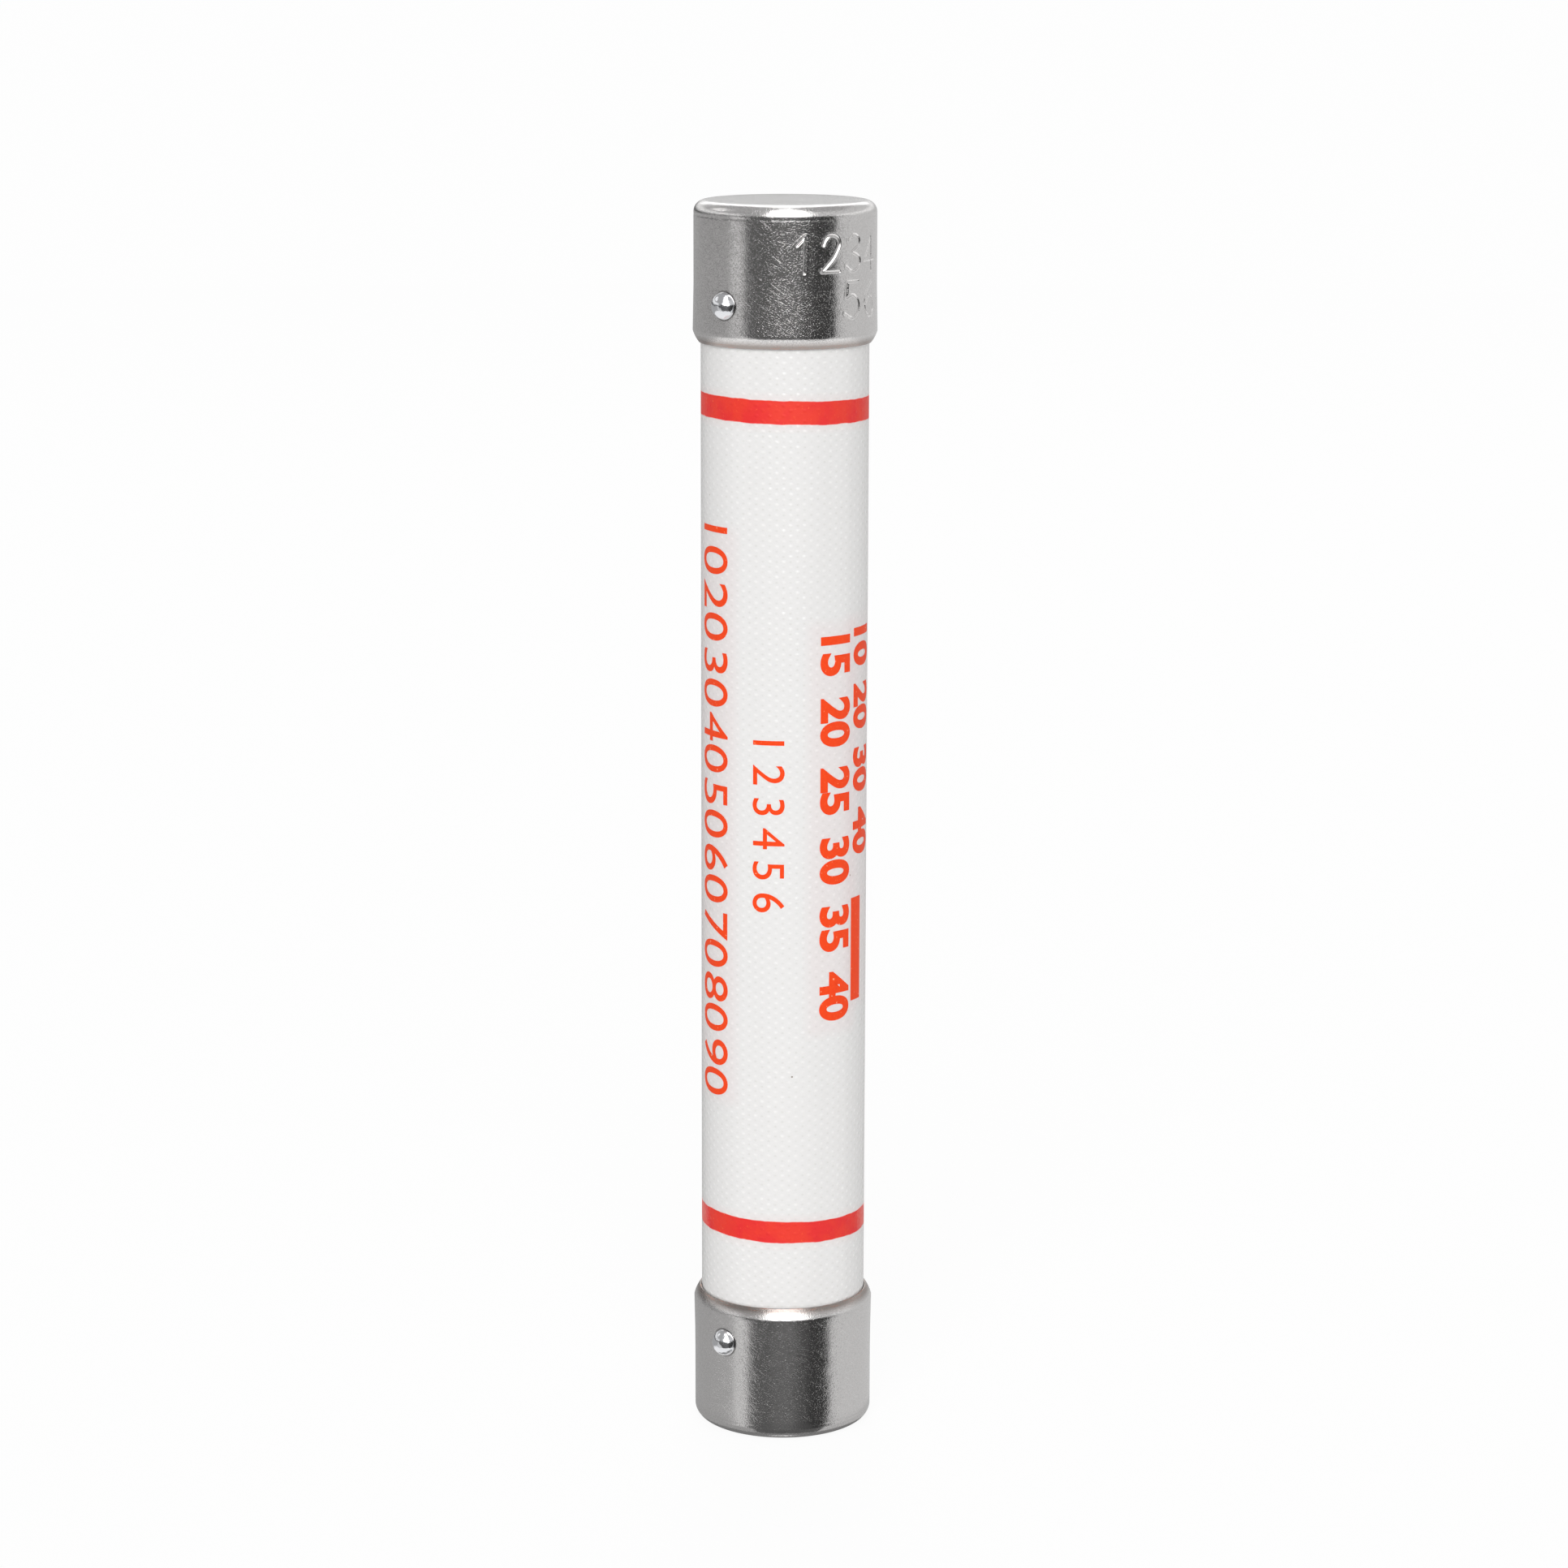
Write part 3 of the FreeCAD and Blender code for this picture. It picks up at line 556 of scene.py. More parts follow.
def make_glass_cloth():
    material, tree, shader = new_material("glass_cloth_laminate")
    place = add(tree, "TexCoord").outputs["Object"]
    around, along = unrolled(tree, TUBE_RADIUS)
    weave, hollows = plain_weave(tree, around, along)
    resin, wander, specks = [
        add(
            tree, "TexNoise", {"Vector": place, "Scale": 1 / (size_mm * MM), "Detail": detail},
        ).outputs["Fac"]
        for size_mm, detail in ((RESIN_MM, 3.0), (WANDER_MM, 3.0), (SPECK_MM, 2.0))
    ]
    woven = add(tree, "Bump", {"Height": weave, "Distance": PILLOW_MM * MM}).outputs[0]
    skin = add(
        tree, "Bump", {"Height": resin, "Normal": woven, "Distance": RESIN_WAVE_MM * MM},
    ).outputs[0]
    tree.links.new(skin, shader.inputs["Normal"])

    fleck_distance = add(
        tree, "TexVoronoi", {"Vector": place, "Scale": 1 / (FLECK_SPACING_MM * MM)},
    ).outputs["Distance"]
    flecks = add(
        tree, "Math", {0: fleck_distance, 1: FLECK_SHARE}, operation="LESS_THAN",
    ).outputs[0]
    pink = [(zone, "F2B0B4") for zone in pink_zones(tree, around, along)]
    colour = srgb("EAE9E8")
    for share, tone in ((weave, "F5F4F3"), (hollows, "DFDEDB"), (flecks, "8F8478"), *pink):
        colour = add(
            tree, "Mix", {0: share, 6: colour, 7: srgb(tone)}, data_type="RGBA",
        ).outputs[2]
    colour, rough = brush_bands(tree, place, along, wander, specks, colour)
    tree.links.new(colour, shader.inputs["Base Color"])
    tree.links.new(rough, shader.inputs["Roughness"])
    shader.inputs["IOR"].default_value = 1.52
    return material


glass_cloth = make_glass_cloth()
wear("fuse_tube", glass_cloth)
print("made", glass_cloth.name)

# %% [markdown]
# ## Screen ink: the numbers on the tube
# The orange numbers are screen printed while the tube rolls under the screen. The ink is a matt
# film a few hundredths of a millimetre thick, with pinholes where the weave keeps it off.

# %% The ink finish
FILM_MM = 0.35


def make_screen_ink():
    material, tree, shader = new_material("screen_ink")
    place = add(tree, "TexCoord").outputs["Object"]
    film = add(
        tree, "TexNoise", {"Vector": place, "Scale": 1 / (FILM_MM * MM), "Detail": 3.0},
    ).outputs["Fac"]
    pinholes = add(
        tree, "MapRange", {"Value": film, "From Min": 0.68, "From Max": 0.74},
    ).outputs[0]
    depth = add(
        tree, "Mix", {0: film, 6: srgb("F53A04"), 7: srgb("FC5010")}, data_type="RGBA",
    ).outputs[2]
    colour = add(
        tree, "Mix", {0: pinholes, 6: depth, 7: srgb("FFB08C")}, data_type="RGBA",
    ).outputs[2]
    tree.links.new(colour, shader.inputs["Base Color"])
    shader.inputs["Roughness"].default_value = 0.5
    shader.inputs["Specular IOR Level"].default_value = 0.2
    return material


screen_ink = make_screen_ink()
print("made", screen_ink.name)

# %% [markdown]
# ## The pieces inside
# Closed up, the fuse hides all of these, but on a screen it can be taken apart, so each piece
# gets the finish of what it is made of. One function does for all of them. The grain of a rolled
# strip is drawn out along the strip, that of pressed board lies flat, and sand and mica are loose
# grains and flakes, each with its own tone. All grain sizes are real ones.

# %% Finishes of the inner pieces
ROUND, FLAT, DRAWN = (1, 1, 1), (1, 1, 0.25), (0.12, 0.12, 1)


def make_inner_finish(name, tones, grain_mm, stretch, roughness, relief_mm, metallic=0.0, loose=False):
    """A finish with a grain of real size: even noise, or loose grains with a tone each."""
    material, tree, shader = new_material(name)
    place = add(tree, "TexCoord").outputs["Object"]
    scale = [1 / (grain_mm * MM * share) for share in stretch]
    sized = add(tree, "Mapping", {"Vector": place, "Scale": scale}).outputs[0]
    if loose:
        grains = add(tree, "TexVoronoi", {"Vector": sized, "Scale": 1.0})
        relief = grains.outputs["Distance"]
        tone = add(tree, "SeparateXYZ", {0: grains.outputs["Color"]}).outputs["X"]
    else:
        relief = add(
            tree, "TexNoise", {"Vector": sized, "Scale": 1.0, "Detail": 4.0},
        ).outputs["Fac"]
        tone = relief
    colour = add(
        tree, "Mix", {0: tone, 6: srgb(tones[0]), 7: srgb(tones[1])}, data_type="RGBA",
    ).outputs[2]
    tree.links.new(colour, shader.inputs["Base Color"])
    rough = add(
        tree, "MapRange",
        {"Value": tone, "To Min": roughness * 0.8, "To Max": min(1.0, roughness * 1.2)},
    ).outputs[0]
    tree.links.new(rough, shader.inputs["Roughness"])
    raised = add(
        tree, "Bump", {"Height": relief, "Distance": relief_mm * MM}, invert=loose,
    ).outputs[0]
    tree.links.new(raised, shader.inputs["Normal"])
    shader.inputs["Metallic"].default_value = metallic
    return material


fibre = make_inner_finish("vulcanised_fibre", ("5B4A42", "77635A"), 0.5, FLAT, 0.62, 0.03)
mica = make_inner_finish("mica_board", ("8E7A5E", "CDBE9E"), 1.4, FLAT, 0.3, 0.04, loose=True)
copper = make_inner_finish("rolled_copper", ("B8673F", "D08658"), 0.8, DRAWN, 0.28, 0.01, 1.0)
solder = make_inner_finish("tin_solder", ("B9B8B4", "DAD9D6"), 0.9, ROUND, 0.24, 0.05, 1.0)
brass = make_inner_finish("pressed_brass", ("B08D45", "CDAA62"), 0.6, DRAWN, 0.26, 0.01, 1.0)
steatite = make_inner_finish("steatite_ceramic", ("D9D3C6", "EAE5DA"), 0.12, ROUND, 0.45, 0.01)
silver = make_inner_finish("rolled_silver", ("CFCDC8", "E6E4E0"), 0.5, ROUND, 0.2, 0.006, 1.0)
sand = make_inner_finish("quartz_sand", ("B9A98C", "F0EADC"), 0.35, ROUND, 0.4, 0.12, loose=True)
moulding = make_inner_finish("moulded_plug", ("7A2B22", "8C352A"), 0.1, ROUND, 0.5, 0.01)
INNER_PIECES = (
    (fibre, ("bottom_gasket", "top_gasket")),
    (mica, ("bottom_closing_disc", "top_closing_disc")),
    (copper, ("bottom_lead_strap", "top_lead_strap")),
    (solder, ("bottom_solder_joint", "top_solder_joint", "alloy_bead")),
    (brass, ("bottom_core_clip", "top_core_clip")),
    (steatite, ("element_core",)),
    (silver, ("fuse_element",)),
    (sand, ("sand_filler",)),
    (moulding, ("fill_plug",)),
)
for finish, names in INNER_PIECES:
    for name in names:
        wear(name, finish)
print("finished inner pieces:", sum(len(names) for _, names in INNER_PIECES))

# %% [markdown]
# ## The ferrule, turned from its section
# A drawn cup is round all about, so its section says it all: a flat end, a round corner, a
# straight wall that the fuse clips grip, a slight flare, and a bevel that was rolled in until the
# mouth closed on the tube. Where the round corner of the drawing punch ended, it left a shallow
# groove. The section is drawn as a chain of points and spun round the fuse. The sector that
# carries stamped numbers is spun in finer steps, so that its metal can be moved.

# %% The section of the ferrule, and the spin
SMOOTH_UP_TO = math.radians(50)
CORNER_STEPS = 14
BEVEL_STEPS = 8
SHOULDER_DEPTH = 0.014 * MM
SHOULDER_WIDTH = 0.42 * MM
SHOULDER_PROFILE = ((0.3, 0.85), (0.5, 1.0), (0.7, 0.85), (0.95, 0.05), (1.1, 0.0))
BELOW_CREASE = Vector((-0.002, -0.2)) * MM
STAMP_ROWS_START = 2.6 * MM
STAMP_ROWS_END = 13.3 * MM
STAMP_GRID = 0.06 * MM
STAMP_SECTOR = (math.radians(-3), math.radians(84))


def arc_through(start, end, radius, steps, bulge):
    """Points on the arc from start to end, start left out. bulge is 1 or -1, its side."""
    chord = end - start
    side = Vector((-chord.y, chord.x)).normalized() * bulge
    centre = (start + end) / 2 + side * math.sqrt(radius ** 2 - (chord.length / 2) ** 2)
    first, last = start - centre, end - centre
    turn = first.angle_signed(last)
    points = []
    for step in range(1, steps + 1):
        angle = -turn * step / steps
        cos, sin = math.cos(angle), math.sin(angle)
        points.append(centre + Vector((first.x * cos - first.y * sin, first.x * sin + first.y * cos)))
    return points


def ferrule_section(row_height):
    """Radius and height of the section, from the middle of the end round to the inside."""
    inner_corner = CORNER_RADIUS - WALL
    points = [Vector((0, 0)), Vector((WALL_RADIUS * 0.5, 0))]
    corner_start = Vector((WALL_RADIUS - CORNER_RADIUS, 0))
    corner_end = Vector((WALL_RADIUS, CORNER_RADIUS))
    points.append(corner_start)
    points += arc_through(corner_start, corner_end, CORNER_RADIUS, CORNER_STEPS, 1)
    for share, depth in SHOULDER_PROFILE:
        height = CORNER_RADIUS + SHOULDER_WIDTH * share
        points.append(Vector((WALL_RADIUS - SHOULDER_DEPTH * depth, height)))
    rows = round((STAMP_ROWS_END - STAMP_ROWS_START) / row_height)
    for row in range(rows + 1):
        height = STAMP_ROWS_START + (STAMP_ROWS_END - STAMP_ROWS_START) * row / rows
        flare = LIP_FLARE * max(0.0, (height - GRIP_END) / (CREASE_HEIGHT - GRIP_END))
        points.append(Vector((WALL_RADIUS + flare, height)))
    crease = Vector((CREASE_RADIUS, CREASE_HEIGHT))
    mouth = Vector((BORE_RADIUS + CUT_EDGE, FERRULE_LENGTH))
    points += [crease + BELOW_CREASE, crease]
    points += arc_through(crease, mouth, BEVEL_CROWN, BEVEL_STEPS, 1)
    points += [
        Vector((BORE_RADIUS, FERRULE_LENGTH)),
        Vector((BORE_RADIUS, GRIP_END)),
        Vector((BORE_RADIUS, CORNER_RADIUS)),
        Vector((BORE_RADIUS - inner_corner, WALL)),
        Vector((0, WALL)),
    ]
    return points


def draw_chain(name, points):
    """One vertex, and then an extrusion to each next point, as when drawing by hand."""
    bpy.ops.object.select_all(action="DESELECT")
    bpy.ops.mesh.primitive_plane_add(size=MM, location=(0, 0, 0))
    piece = bpy.context.object
    piece.name = name
    bpy.ops.object.mode_set(mode="EDIT")
    bpy.ops.mesh.merge(type="CENTER")
    bpy.ops.transform.translate(value=points[0])
    for here, there in zip(points, points[1:]):
        bpy.ops.mesh.extrude_vertices_move(TRANSFORM_OT_translate={"value": there - here})
    return piece


def spin_section(name, section, start, sweeps):
    """Spin a section of (radius, height) points round Z, clockwise from above, sweep by sweep."""
    towards = Vector((math.cos(start), math.sin(start), 0))
    piece = draw_chain(name, [towards * point.x + Vector((0, 0, point.y)) for point in section])
    bpy.ops.mesh.select_all(action="SELECT")
    for angle, steps in sweeps:
        bpy.ops.mesh.spin(steps=steps, angle=angle, center=(0, 0, 0), axis=(0, 0, 1))
    bpy.ops.mesh.select_all(action="SELECT")
    bpy.ops.mesh.remove_doubles(threshold=WELD)
    bpy.ops.mesh.normals_make_consistent(inside=False)
    bpy.ops.object.mode_set(mode="OBJECT")
    print(name, "has", len(piece.data.polygons), "faces")
    return piece


def finish_piece(piece, material, slot, *nodes):
    """Round shading, the finish, and the place of the piece on the fuse."""
    bpy.ops.object.select_all(action="DESELECT")
    piece.select_set(True)
    bpy.context.view_layer.objects.active = piece
    bpy.ops.object.transform_apply(location=True, rotation=True, scale=True)
    bpy.ops.object.shade_smooth_by_angle(angle=SMOOTH_UP_TO)
    piece.data.materials.clear()
    piece.data.materials.append(material)
    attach(piece, "root")
    if nodes:
        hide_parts(*nodes)


WHOLE_TURN_STEPS = 240
PLAIN_ROW = 2.4 * MM
bottom_section = ferrule_section(PLAIN_ROW)
bottom_shell = spin_section(
    "bottom_ferrule_shell", bottom_section, FACING, [(math.tau, WHOLE_TURN_STEPS)],
)

# %% [markdown]
# ## Stamped numbers
# The maker strikes numbers into the wall of the top ferrule with round-nosed punches. The metal
# goes down along each stroke and swells up beside it. So the strokes are drawn flat as curves,
# rolled round the ferrule as wires, and then pull the fine sector of the shell about: a vertex
# weight tells how near each point is to a wire, one displacement raises what is fairly near, and
# a second, narrower one presses down what is nearest. The digits stand a little askew.

# %% Strokes of the digits, on a field one high
BENT, STRAIGHT = "AUTO", "VECTOR"
STROKES = {
    "1": [(STRAIGHT, [(0.12, 0.76), (0.34, 1.0), (0.34, 0.0)])],
    "2": [
        (BENT, [(0.04, 0.74), (0.14, 0.94), (0.34, 1.0), (0.54, 0.86), (0.5, 0.6), (0.04, 0.0)]),
        (STRAIGHT, [(0.04, 0.0), (0.6, 0.0)]),
    ],
    "3": [
        (BENT, [(0.06, 0.86), (0.3, 1.0), (0.52, 0.8), (0.24, 0.54)]),
        (BENT, [(0.24, 0.54), (0.58, 0.28), (0.3, 0.0), (0.03, 0.14)]),
    ],
    "4": [(STRAIGHT, [(0.62, 0.3), (0.0, 0.3), (0.42, 1.0), (0.42, 0.0)])],
    "5": [
        (STRAIGHT, [(0.54, 1.0), (0.12, 1.0), (0.08, 0.56)]),
        (BENT, [(0.08, 0.56), (0.36, 0.62), (0.58, 0.32), (0.34, 0.0), (0.03, 0.12)]),
    ],
    "6": [
        (BENT, [(0.5, 0.96), (0.18, 0.72), (0.04, 0.3), (0.3, 0.0), (0.57, 0.28), (0.32, 0.56),
                (0.06, 0.34)]),
    ],
}
DIGIT_HEIGHT = 4.0 * MM
DIGIT_MIDDLE = 0.31
STAMP_ROWS = (
    (7.4 * MM, (("1", 11), ("2", 29), ("3", 47), ("4", 65))),
    (12.6 * MM, (("5", 46), ("6", 65))),
)
print("digits with strokes:", len(STROKES))

# %% Strike the digits
GROOVE_REACH = 0.25 * MM
GROOVE_DEPTH = 0.11 * MM
LIP_REACH = 0.5 * MM
LIP_RISE = 0.045 * MM
ASKEW_LEAN = 0.06
ASKEW_HEIGHT = 0.1 * MM
WIRE_STEPS = 24


def roll_round(piece, radius):
    """Roll a flat sheet onto the fuse. Its X is the way round, its Y the depth below radius."""
    for vertex in piece.data.vertices:
        way_round, depth, height = vertex.co
        vertex.co = round_the_fuse(way_round / radius, radius - depth, height)


def draw_stamp_wires():
    """All strokes as one curve on a flat sheet, made a mesh and rolled round the ferrule."""
    draw = random.Random(5)
    curve = bpy.data.curves.new("stamp_wires", "CURVE")
    curve.dimensions = "3D"
    curve.resolution_u = WIRE_STEPS
    for depth, digits in STAMP_ROWS:
        for digit, degrees in digits:
            middle = math.radians(degrees) * WALL_RADIUS
            base = FUSE_LENGTH - depth + draw.uniform(-ASKEW_HEIGHT, ASKEW_HEIGHT)
            lean = draw.uniform(-ASKEW_LEAN, ASKEW_LEAN)
            for handle, points in STROKES[digit]:
                spline = curve.splines.new("BEZIER")
                spline.bezier_points.add(len(points) - 1)
                for knot, (across, up) in zip(spline.bezier_points, points):
                    x = middle + (across - DIGIT_MIDDLE + lean * up) * DIGIT_HEIGHT
                    knot.co = (x, 0, base + up * DIGIT_HEIGHT)
                    knot.handle_left_type = knot.handle_right_type = handle
    wires = bpy.data.objects.new("stamp_wires", curve)
    bpy.context.collection.objects.link(wires)
    bpy.ops.object.select_all(action="DESELECT")
    wires.select_set(True)
    bpy.context.view_layer.objects.active = wires
    bpy.ops.object.convert(target="MESH")
    roll_round(wires, WALL_RADIUS)
    return wires


def weigh_by_wires(shell, group_name, wires, reach):
    """A vertex group of the shell that is 1 at a wire and fades to 0 at the given reach."""
    group = shell.vertex_groups.new(name=group_name)
    near_wall = [
        vertex.index for vertex in shell.data.vertices
        if math.hypot(vertex.co.x, vertex.co.y) > WALL_RADIUS - SHOULDER_DEPTH
        and STAMP_ROWS_START < FUSE_LENGTH - vertex.co.z < STAMP_ROWS_END
    ]
    group.add(near_wall, 1.0, "REPLACE")
    bpy.ops.object.modifier_add(type="VERTEX_WEIGHT_PROXIMITY")
    nearness = shell.modifiers[-1]
    nearness.vertex_group = group_name
    nearness.target = wires
    nearness.proximity_mode = "GEOMETRY"
    nearness.proximity_geometry = {"EDGE"}
    nearness.min_dist = reach
    nearness.max_dist = 0.0
    nearness.falloff_type = "SMOOTH"
    bpy.ops.object.modifier_apply(modifier=nearness.name)


def strike(shell, wires):
    """Raise the lips beside the strokes, and then press the strokes in."""
    bpy.ops.object.select_all(action="DESELECT")
    shell.select_set(True)
    bpy.context.view_layer.objects.active = shell
    moves = (("lips", LIP_REACH, LIP_RISE), ("grooves", GROOVE_REACH, -GROOVE_DEPTH - LIP_RISE))
    for group_name, reach, _ in moves:
        weigh_by_wires(shell, group_name, wires, reach)
    for group_name, _, height in moves:
        bpy.ops.object.modifier_add(type="DISPLACE")
        push = shell.modifiers[-1]
        push.vertex_group = group_name
        push.mid_level = 0.0
        push.strength = height
        bpy.ops.object.modifier_apply(modifier=push.name)
    shell.vertex_groups.clear()
    bpy.data.objects.remove(wires)


PLAIN_STEP = math.radians(1.8)
top_section = [Vector((point.x, FUSE_LENGTH - point.y)) for point in ferrule_section(STAMP_GRID)]
sector = STAMP_SECTOR[1] - STAMP_SECTOR[0]
sector_steps = round(sector * WALL_RADIUS / STAMP_GRID)
rest_steps = round((math.tau - sector) / PLAIN_STEP)
top_shell = spin_section(
    "top_ferrule_shell", top_section, FACING + STAMP_SECTOR[1],
    [(sector, sector_steps), (math.tau - sector, rest_steps)],
)
strike(top_shell, draw_stamp_wires())
reach = max(math.hypot(v.co.x, v.co.y) for v in top_shell.data.vertices)
print("top ferrule reaches out to mm:", round(reach / MM, 3))

# %% [markdown]
# ## Holes and drive pins
# Each ferrule is drilled through wall and tube for two pins, one on either side. A pin is turned
# from its own section: tip, shank, and a low dome. The underside of the head is not flat, because
# driving it home forms it to the round wall, so the ring under the dome is laid on that wall. One
# pin is modelled and copied, and each copy is turned and moved to its hole.

# %% Drill the shells, make the pins
PIN_HEAD_HEIGHT = 1.38 * MM
PIN_DEPTH = PIN_REACH - PIN_TIP - PIN_HEAD_HEIGHT
PIN_CHAMFER = 0.25 * MM
HEAD_EDGE = 0.12 * MM
HEAD_SEAT = 0.2 * MM
HEAD_BREAK = Vector((0.08, 0.06)) * MM
SEAT_GAP = 0.01 * MM
SHANK_MARGIN = 1.05
HOLE_STEPS = 48
DOME_STEPS = 14
PIN_TURN_STEPS = 72
PLACES = (("bottom", PIN_HEIGHT), ("top", FUSE_LENGTH - PIN_HEIGHT))


def drill(shell, height):
    """Cut the hole for both pins through a shell, along Y."""
    bpy.ops.object.select_all(action="DESELECT")
    bpy.ops.mesh.primitive_cylinder_add(
        vertices=HOLE_STEPS, radius=PIN_HOLE_RADIUS, depth=4 * WALL_RADIUS,
        location=(0, 0, height), rotation=(math.pi / 2, 0, 0),
    )
    drill_bit = bpy.context.object
    bpy.ops.object.select_all(action="DESELECT")
    shell.select_set(True)
    bpy.context.view_layer.objects.active = shell
    bpy.ops.object.modifier_add(type="BOOLEAN")
    cut = shell.modifiers[-1]
    cut.operation = "DIFFERENCE"
    cut.solver = "EXACT"
    cut.object = drill_bit
    bpy.ops.object.modifier_apply(modifier=cut.name)
    bpy.data.objects.remove(drill_bit)


def make_pin_blank():
    """One pin standing on its tip, the ring under its dome laid on the wall."""
    wall_at_pin = WALL_RADIUS + LIP_FLARE * (PIN_HEIGHT - GRIP_END) / (CREASE_HEIGHT - GRIP_END)
    under_head = PIN_DEPTH - HEAD_SEAT
    rim = Vector((PIN_HEAD_RADIUS, PIN_DEPTH + HEAD_EDGE))
    crown = Vector((0, PIN_DEPTH + PIN_HEAD_HEIGHT))
    rise = crown.y - rim.y
    dome_radius = (rim.x ** 2 + rise ** 2) / (2 * rise)
    section = [
        Vector((0, 0)),
        Vector((PIN_SHANK_RADIUS - PIN_CHAMFER, 0)),
        Vector((PIN_SHANK_RADIUS, PIN_CHAMFER)),
        Vector((PIN_SHANK_RADIUS, under_head)),
        Vector((PIN_HEAD_RADIUS - HEAD_BREAK.x, under_head)),
        Vector((PIN_HEAD_RADIUS, under_head + HEAD_BREAK.y)),
        rim,
    ]
    section += arc_through(rim, crown, dome_radius, DOME_STEPS, 1)
    pin = spin_section("drive_pin", section, 0.0, [(math.tau, PIN_TURN_STEPS)])
    for vertex in pin.data.vertices:
        out = math.hypot(vertex.co.x, vertex.co.y)
        if out > PIN_SHANK_RADIUS * SHANK_MARGIN and vertex.co.z < rim.y - HEAD_EDGE / 2:
            seat = math.sqrt(wall_at_pin ** 2 - vertex.co.x ** 2) - PIN_TIP
            vertex.co.z = seat + vertex.co.z - under_head + SEAT_GAP
    return pin


pin_blank = make_pin_blank()
for end, height in PLACES:
    shell = {"bottom": bottom_shell, "top": top_shell}[end]
    drill(shell, height)
    finish_piece(shell, tinned_alloy, "tinned_copper_alloy", f"{end}_ferrule")
    for side, turn in (("front", 0.0), ("back", math.pi)):
        pin = bpy.data.objects.new(f"{end}_{side}_drive_pin", pin_blank.data.copy())
        bpy.context.collection.objects.link(pin)
        pin.location = (0, -PIN_TIP * math.cos(turn), height)
        pin.rotation_euler = (math.pi / 2, 0, turn)
        finish_piece(pin, plated_steel, "plated_steel", f"{end}_ferrule_pin_{side}")
bpy.data.objects.remove(pin_blank)

# %% [markdown]
# ## The print on the tube
# The real tube is screen printed along its length, in columns that read downwards. Here the
# columns hold plain numbers: tens, units, and two bold columns with a solid bar beside them. The
# print is laid out flat first, as on the printer's screen: the way round the tube is X, the height
# is Z. Then it is sliced into narrow strips so that it can bend, given its film thickness, and
# rolled onto the tube.

# %% Lay out the print
CAPITAL_SHARE = 0.70
INK_FILM = 0.02 * MM
INK_LIFT = 0.004 * MM
STRIP = 0.5 * MM
PLAIN = 0.0
BOLD = 0.22 * MM
CURVE_STEPS = 8

# piece, numbers, digit height, degrees from the camera, height of the first, step down, weight
COLUMNS_MM = (
    ("tens_print", range(10, 100, 10), 5.0, -59, 104.6, 7.6, PLAIN),
    ("units_print", range(1, 7), 3.7, -12, 82.6, 3.7, PLAIN),
    ("bold_print", range(15, 45, 5), 3.9, 37, 92.7, 8.0, BOLD),
    ("bold_print", range(10, 50, 10), 3.7, 66.5, 93.3, 7.3, BOLD),
)
# degrees from the camera, width, low edge, high edge
BAR_MM = (60, 2.0, 51.7, 63.8)


def lay_number(text, height, degrees, along, weight):
    """A number on the flat sheet, reading downwards, its middle at a place on the tube."""
    bpy.ops.object.select_all(action="DESELECT")
    bpy.ops.object.text_add()
    label = bpy.context.object
    label.data.body = text
    label.data.align_x = "CENTER"
    label.data.align_y = "CENTER"
    label.data.size = height / CAPITAL_SHARE
    label.data.offset = weight
    label.data.resolution_u = CURVE_STEPS
    bpy.ops.object.convert(target="MESH")
    downwards = Matrix(((0, 1, 0, 0), (0, 0, -1, 0), (-1, 0, 0, 0), (0, 0, 0, 1)))
    middle = Vector((math.radians(degrees) * TUBE_RADIUS, 0, along))
    label.data.transform(Matrix.Translation(middle) @ downwards)
    return label


def lay_bar(degrees, width, low, high):
    """A solid bar on the flat sheet, its middle a number of degrees from the camera."""
    bpy.ops.object.select_all(action="DESELECT")
    bpy.ops.mesh.primitive_plane_add(size=1.0, rotation=(math.pi / 2, 0, 0))
    bpy.ops.object.transform_apply(location=True, rotation=True, scale=True)
    bar = bpy.context.object
    middle = Vector((math.radians(degrees) * TUBE_RADIUS, 0, (low + high) / 2 * MM))
    size = Matrix.Diagonal((width * MM, 1, (high - low) * MM, 1))
    bar.data.transform(Matrix.Translation(middle) @ size)
    return bar


sheets = {}
for name, numbers, size, degrees, first, step, weight in COLUMNS_MM:
    sheets.setdefault(name, []).extend(
        lay_number(str(number), size * MM, degrees, (first - step * count) * MM, weight)
        for count, number in enumerate(numbers)
    )
sheets["bold_print"].append(lay_bar(*BAR_MM))
print("laid out:", ", ".join(sheets))


# %% Slice the print and roll it onto the tube
def print_column(name, laid):
    """Join what is laid out, slice it, give it thickness and roll it onto the tube."""
    bpy.ops.object.select_all(action="DESELECT")
    for item in laid:
        item.select_set(True)
    bpy.context.view_layer.objects.active = laid[0]
    bpy.ops.object.join()
    column = bpy.context.object
    column.name = name
    low = min(vertex.co.x for vertex in column.data.vertices)
    high = max(vertex.co.x for vertex in column.data.vertices)
    bpy.ops.object.mode_set(mode="EDIT")
    bpy.ops.mesh.select_all(action="SELECT")
    bpy.ops.mesh.remove_doubles(threshold=WELD)
    for cut in range(1, math.ceil((high - low) / STRIP)):
        bpy.ops.mesh.select_all(action="SELECT")
        bpy.ops.mesh.bisect(plane_co=(low + cut * STRIP, 0, 0), plane_no=(1, 0, 0))
    bpy.ops.object.mode_set(mode="OBJECT")
    bpy.ops.object.modifier_add(type="SOLIDIFY")
    film = column.modifiers[-1]
    film.thickness = INK_FILM
    film.offset = 1.0
    bpy.ops.object.modifier_apply(modifier=film.name)
    roll_round(column, TUBE_RADIUS + INK_LIFT)
    print(name, "has", len(column.data.polygons), "faces")
    finish_piece(column, screen_ink, "glass_cloth_tube")


for name, sheet in sheets.items():
    print_column(name, sheet)

